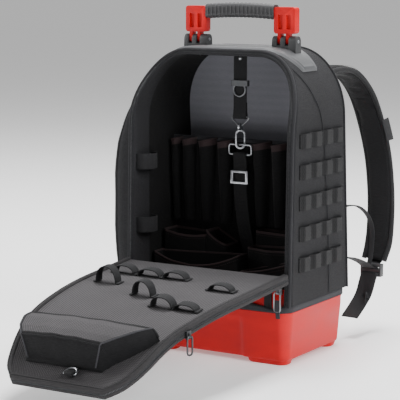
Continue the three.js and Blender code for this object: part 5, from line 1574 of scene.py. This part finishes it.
def make_bellows():
    """Bellows pocket at the lid's free end, its bound mouth towards the hinge."""
    shape = Shape()
    places = spread(BELLOWS[0][0], BELLOWS[-1][0], 34)

    def ring_at(along, inset):
        tall, left, right = (straight_at([(row[0], row[k]) for row in BELLOWS], along) for k in (1, 2, 3))
        tall, left, right = tall - 2 * inset, left + inset, right - inset
        fold = 1.4 * sin(along * 210)
        ring = [lid_at(along, left, -LID_SINK + 0.3 + inset), lid_at(along, right, -LID_SINK + 0.3 + inset)]
        gusset = ((1 - fold * 0.4, 0.3), (3 + fold * 0.4, 0.6), (5.5, 0.87), (8, 0.97))
        for run, up in gusset:
            ring.append(lid_at(along, right - run, -LID_SINK + tall * up))
        for share in spread(0, 1, 29):
            x = right - 12 + (left + 12 - right + 12) * share
            crown = 4.5 * sin(pi * share) * (1 - inset / 3)
            ripple = 0.9 * sin(share * 21 + along * 60) * sin(pi * share)
            ring.append(lid_at(along, x, -LID_SINK + tall + crown + ripple - 1))
        for run, up in reversed(gusset):
            ring.append(lid_at(along, left + run, -LID_SINK + tall * up))
        return ring

    outside = [ring_at(along, 0) for along in reversed(places)]
    inside = [ring_at(along, 2) for along in places[:-2]]
    rings = outside + inside
    count = len(outside)

    def choose(ring, i):
        if ring >= count:
            return 2
        gusset = 1 <= i <= 5 or i >= 34
        return 1 if ring < 9 or gusset or ring >= count - 3 else 0

    shape.rings(rings, choose=choose)
    looks = "lid_cloth gusset_cloth lining_cloth"
    shape.piece("bellows_cloth", looks, 50, ["lid_bellows_pocket"], "lid_fabric")
    trim = Shape()
    trim.tube(ring_at(places[0], 0.8)[2:], 2.6, 8)
    for corner in (5, -4):
        trim.tube([ring_at(along, 0)[corner] for along in places], 1.4, 8, finish=1)
    trim.tube(ring_at(places[-8], 0)[3:-2], 1.3, 8)
    trim.piece("bellows_binding", "gusset_cloth edge_tape", 60)
    for along in (places[2], places[-10]):
        line = [Vector(p) + Vector((0, -0.2, 0.6)) for p in ring_at(along, 0)[6:-5]]
        seam("thread_dark", line, (0, -0.5, 0.8))


def make_lid_bands():
    """Elastic bands across the lid, sewn down between their arches."""
    for name, (along, arches) in LID_BANDS.items():
        (first_x, first_width, _), (last_x, last_width, _) = arches[0], arches[-1]
        outline = [(first_x - first_width / 2 - 5, 1.2)]
        for x, width, rise in arches:
            curve = bulge(rise - 1, x - width / 2 + 1, x + width / 2 - 1, 22, 2.3)
            outline += [(a, max(out, 1.2)) for out, a in curve]
            foot = x - width / 2 - 1.5
            ends = [lid_at((along + run) / LID_LENGTH, foot, -LID_SINK + 2.6) for run in (2, 16)]
            seam("thread_dark", ends, (0, 0, 1))
        outline.append((last_x + last_width / 2 + 5, 1.2))
        centre = (along + 9) / LID_LENGTH
        line = [lid_at(centre, x, -LID_SINK + 0.3 + up) for x, up in outline]
        angle = LID_SPINE[round(centre * (len(LID_SPINE) - 1))][2]
        shape = Shape().ribbon(line, 18, 1.8, across=(0, -cos(angle), -sin(angle)))
        shape.piece(name + "_elastic", "strap_edge", 50, [name], "webbing")


def make_lid_fittings():
    """Ring and tab at the lid's free end, and the two zip sliders with their pulls."""
    dressed("lid_ring", "plated_steel", 0.0002)
    tab = Shape()
    profile = [(-1, 0.6), (-0.6, 2.6), (1.6, 3.6), (3.2, 6), (1.8, 9), (-0.6, 9.4), (-3.4, 8), (-8, 4.2),
               (-11, 2.2)]
    line = [on_lid(LID_TAB_ALONG, LID_TAB_X, up, -run) for run, up in profile]
    tab.ribbon(smooth_line(line, 4), 16, 1.8)
    tab.piece("ring_tab_webbing", "row_webbing", 50, ["lid_tab"], "webbing")
    dressed("frame_zip_slider", "ring_metal", 0.0004)
    hang = TUB_FRONT + UPSTAND_INSET - 9
    route = [(146, 0.4, 112), (146, 1.6, 108), (146.6, 2, 98), (147.4, 1.6, 86), (147.8, 1.2, 80)]
    cloth = Shape().ribbon([(x, hang - out, z) for x, out, z in route], 8, 2.2)
    cloth.piece("frame_zip_tab", "edge_tape", 50)
    dressed("lid_zip_slider", "slider_metal", 0.0004)


def make_seams():
    """All stitches and zip teeth, set along the lines gathered from the other pieces."""
    size = sizes()
    tree = line_repeat_tree("Stitches and teeth")
    stitch = (size.stitch_pitch, size.stitch_length, size.stitch_width, size.stitch_width * 0.7)
    looks = {
        "thread_dark": ("thread_dark", *stitch),
        "thread_brown": ("thread_brown", *stitch),
        "zip_teeth": ("zip_metal", size.tooth_pitch, 0.0013, 0.004, 0.0014),
    }
    for kind, (finish, pitch, length, width, height) in looks.items():
        points, ups, edges = [], [], []
        for line, up in SEAMS[kind]:
            edges += [(len(points) + i, len(points) + i + 1) for i in range(len(line) - 1)]
            points += [at(*p) for p in line]
            ups += up
        mesh = bpy.data.meshes.new(kind)
        mesh.from_pydata(points, edges, [])
        stand = mesh.attributes.new("up", "FLOAT_VECTOR", "POINT")
        stand.data.foreach_set("vector", [c for up in ups for c in up])
        values = {"Pitch": pitch, "Length": length, "Width": width, "Height": height}
        values["Finish"] = finish_named(finish)
        settle(grown("sewn_" + kind, tree, values, mesh))


# Operators


class BACKPACK_OT_stage(Operator):
    """Set up the camera, the floor and the studio lights"""

    bl_idname = "backpack.stage"
    bl_label = "Stage"

    def execute(self, context):
        make_stage()
        return {"FINISHED"}


class BACKPACK_OT_straps(Operator):
    """Make the shoulder straps with their webbing and buckles"""

    bl_idname = "backpack.straps"
    bl_label = "Shoulder straps"

    def execute(self, context):
        for name, mirror in (("right", 1), ("left", -1)):
            make_shoulder_strap(name, mirror)
            make_strap_end(name, mirror)
        return {"FINISHED"}


class BACKPACK_OT_tub(Operator):
    """Make the moulded tub and the band above it"""

    bl_idname = "backpack.tub"
    bl_label = "Tub"

    def execute(self, context):
        make_tub()
        make_binding()
        make_front_gusset()
        return {"FINISHED"}


class BACKPACK_OT_body(Operator):
    """Make the body's wall, the rim of its opening and its padded back"""

    bl_idname = "backpack.body"
    bl_label = "Body"

    def execute(self, context):
        make_body()
        make_rim()
        make_back()
        return {"FINISHED"}


class BACKPACK_OT_handle(Operator):
    """Make the top plate and the carry handle"""

    bl_idname = "backpack.handle"
    bl_label = "Plate and handle"

    def execute(self, context):
        make_plate()
        make_handle()
        return {"FINISHED"}


class BACKPACK_OT_sides(Operator):
    """Make the side pocket and the rows of looped webbing"""

    bl_idname = "backpack.sides"
    bl_label = "Sides"

    def execute(self, context):
        make_side_pocket()
        make_webbing_rows()
        return {"FINISHED"}


class BACKPACK_OT_inside(Operator):
    """Make the board, sleeves, pockets and elastic loops inside"""

    bl_idname = "backpack.inside"
    bl_label = "Inside"

    def execute(self, context):
        make_board()
        make_sleeves()
        make_pockets()
        make_wall_loops()
        return {"FINISHED"}


class BACKPACK_OT_centre_strap(Operator):
    """Make the strap with its rings, hook and slider"""

    bl_idname = "backpack.centre_strap"
    bl_label = "Centre strap"

    def execute(self, context):
        make_centre_strap()
        return {"FINISHED"}


class BACKPACK_OT_lid(Operator):
    """Make the folded-down lid with its pocket, bands and fittings"""

    bl_idname = "backpack.lid"
    bl_label = "Lid"

    def execute(self, context):
        make_lid()
        make_bellows()
        make_lid_bands()
        make_lid_fittings()
        return {"FINISHED"}


class BACKPACK_OT_seams(Operator):
    """Make the stitches and zip teeth along every gathered line"""

    bl_idname = "backpack.seams"
    bl_label = "Stitches and zips"

    def execute(self, context):
        make_seams()
        return {"FINISHED"}


STEPS = (
    BACKPACK_OT_stage, BACKPACK_OT_straps, BACKPACK_OT_tub, BACKPACK_OT_body, BACKPACK_OT_handle,
    BACKPACK_OT_sides, BACKPACK_OT_inside, BACKPACK_OT_centre_strap, BACKPACK_OT_lid, BACKPACK_OT_seams,
)


class BACKPACK_PT_tools(Panel):
    """The backpack's colours, sizes and making steps"""

    bl_idname = "BACKPACK_PT_tools"
    bl_label = "Tool backpack"
    bl_space_type = "VIEW_3D"
    bl_region_type = "UI"
    bl_category = "Backpack"

    def draw(self, context):
        for group in (context.scene.backpack_colours, context.scene.backpack_sizes):
            for key in group.bl_rna.properties.keys():
                if key not in ("rna_type", "name"):
                    self.layout.prop(group, key)
        for operator in STEPS:
            self.layout.operator(operator.bl_idname)


CLASSES = (BackpackColours, BackpackSizes, *STEPS, BACKPACK_PT_tools)


def register():
    for cls in CLASSES:
        bpy.utils.register_class(cls)
    bpy.types.Scene.backpack_colours = PointerProperty(type=BackpackColours)
    bpy.types.Scene.backpack_sizes = PointerProperty(type=BackpackSizes)


def unregister():
    del bpy.types.Scene.backpack_sizes
    del bpy.types.Scene.backpack_colours
    for cls in reversed(CLASSES):
        bpy.utils.unregister_class(cls)


def main():
    register()
    for operator in STEPS:
        group, name = operator.bl_idname.split(".")
        getattr(getattr(bpy.ops, group), name)()


if __name__ == "__main__":
    main()
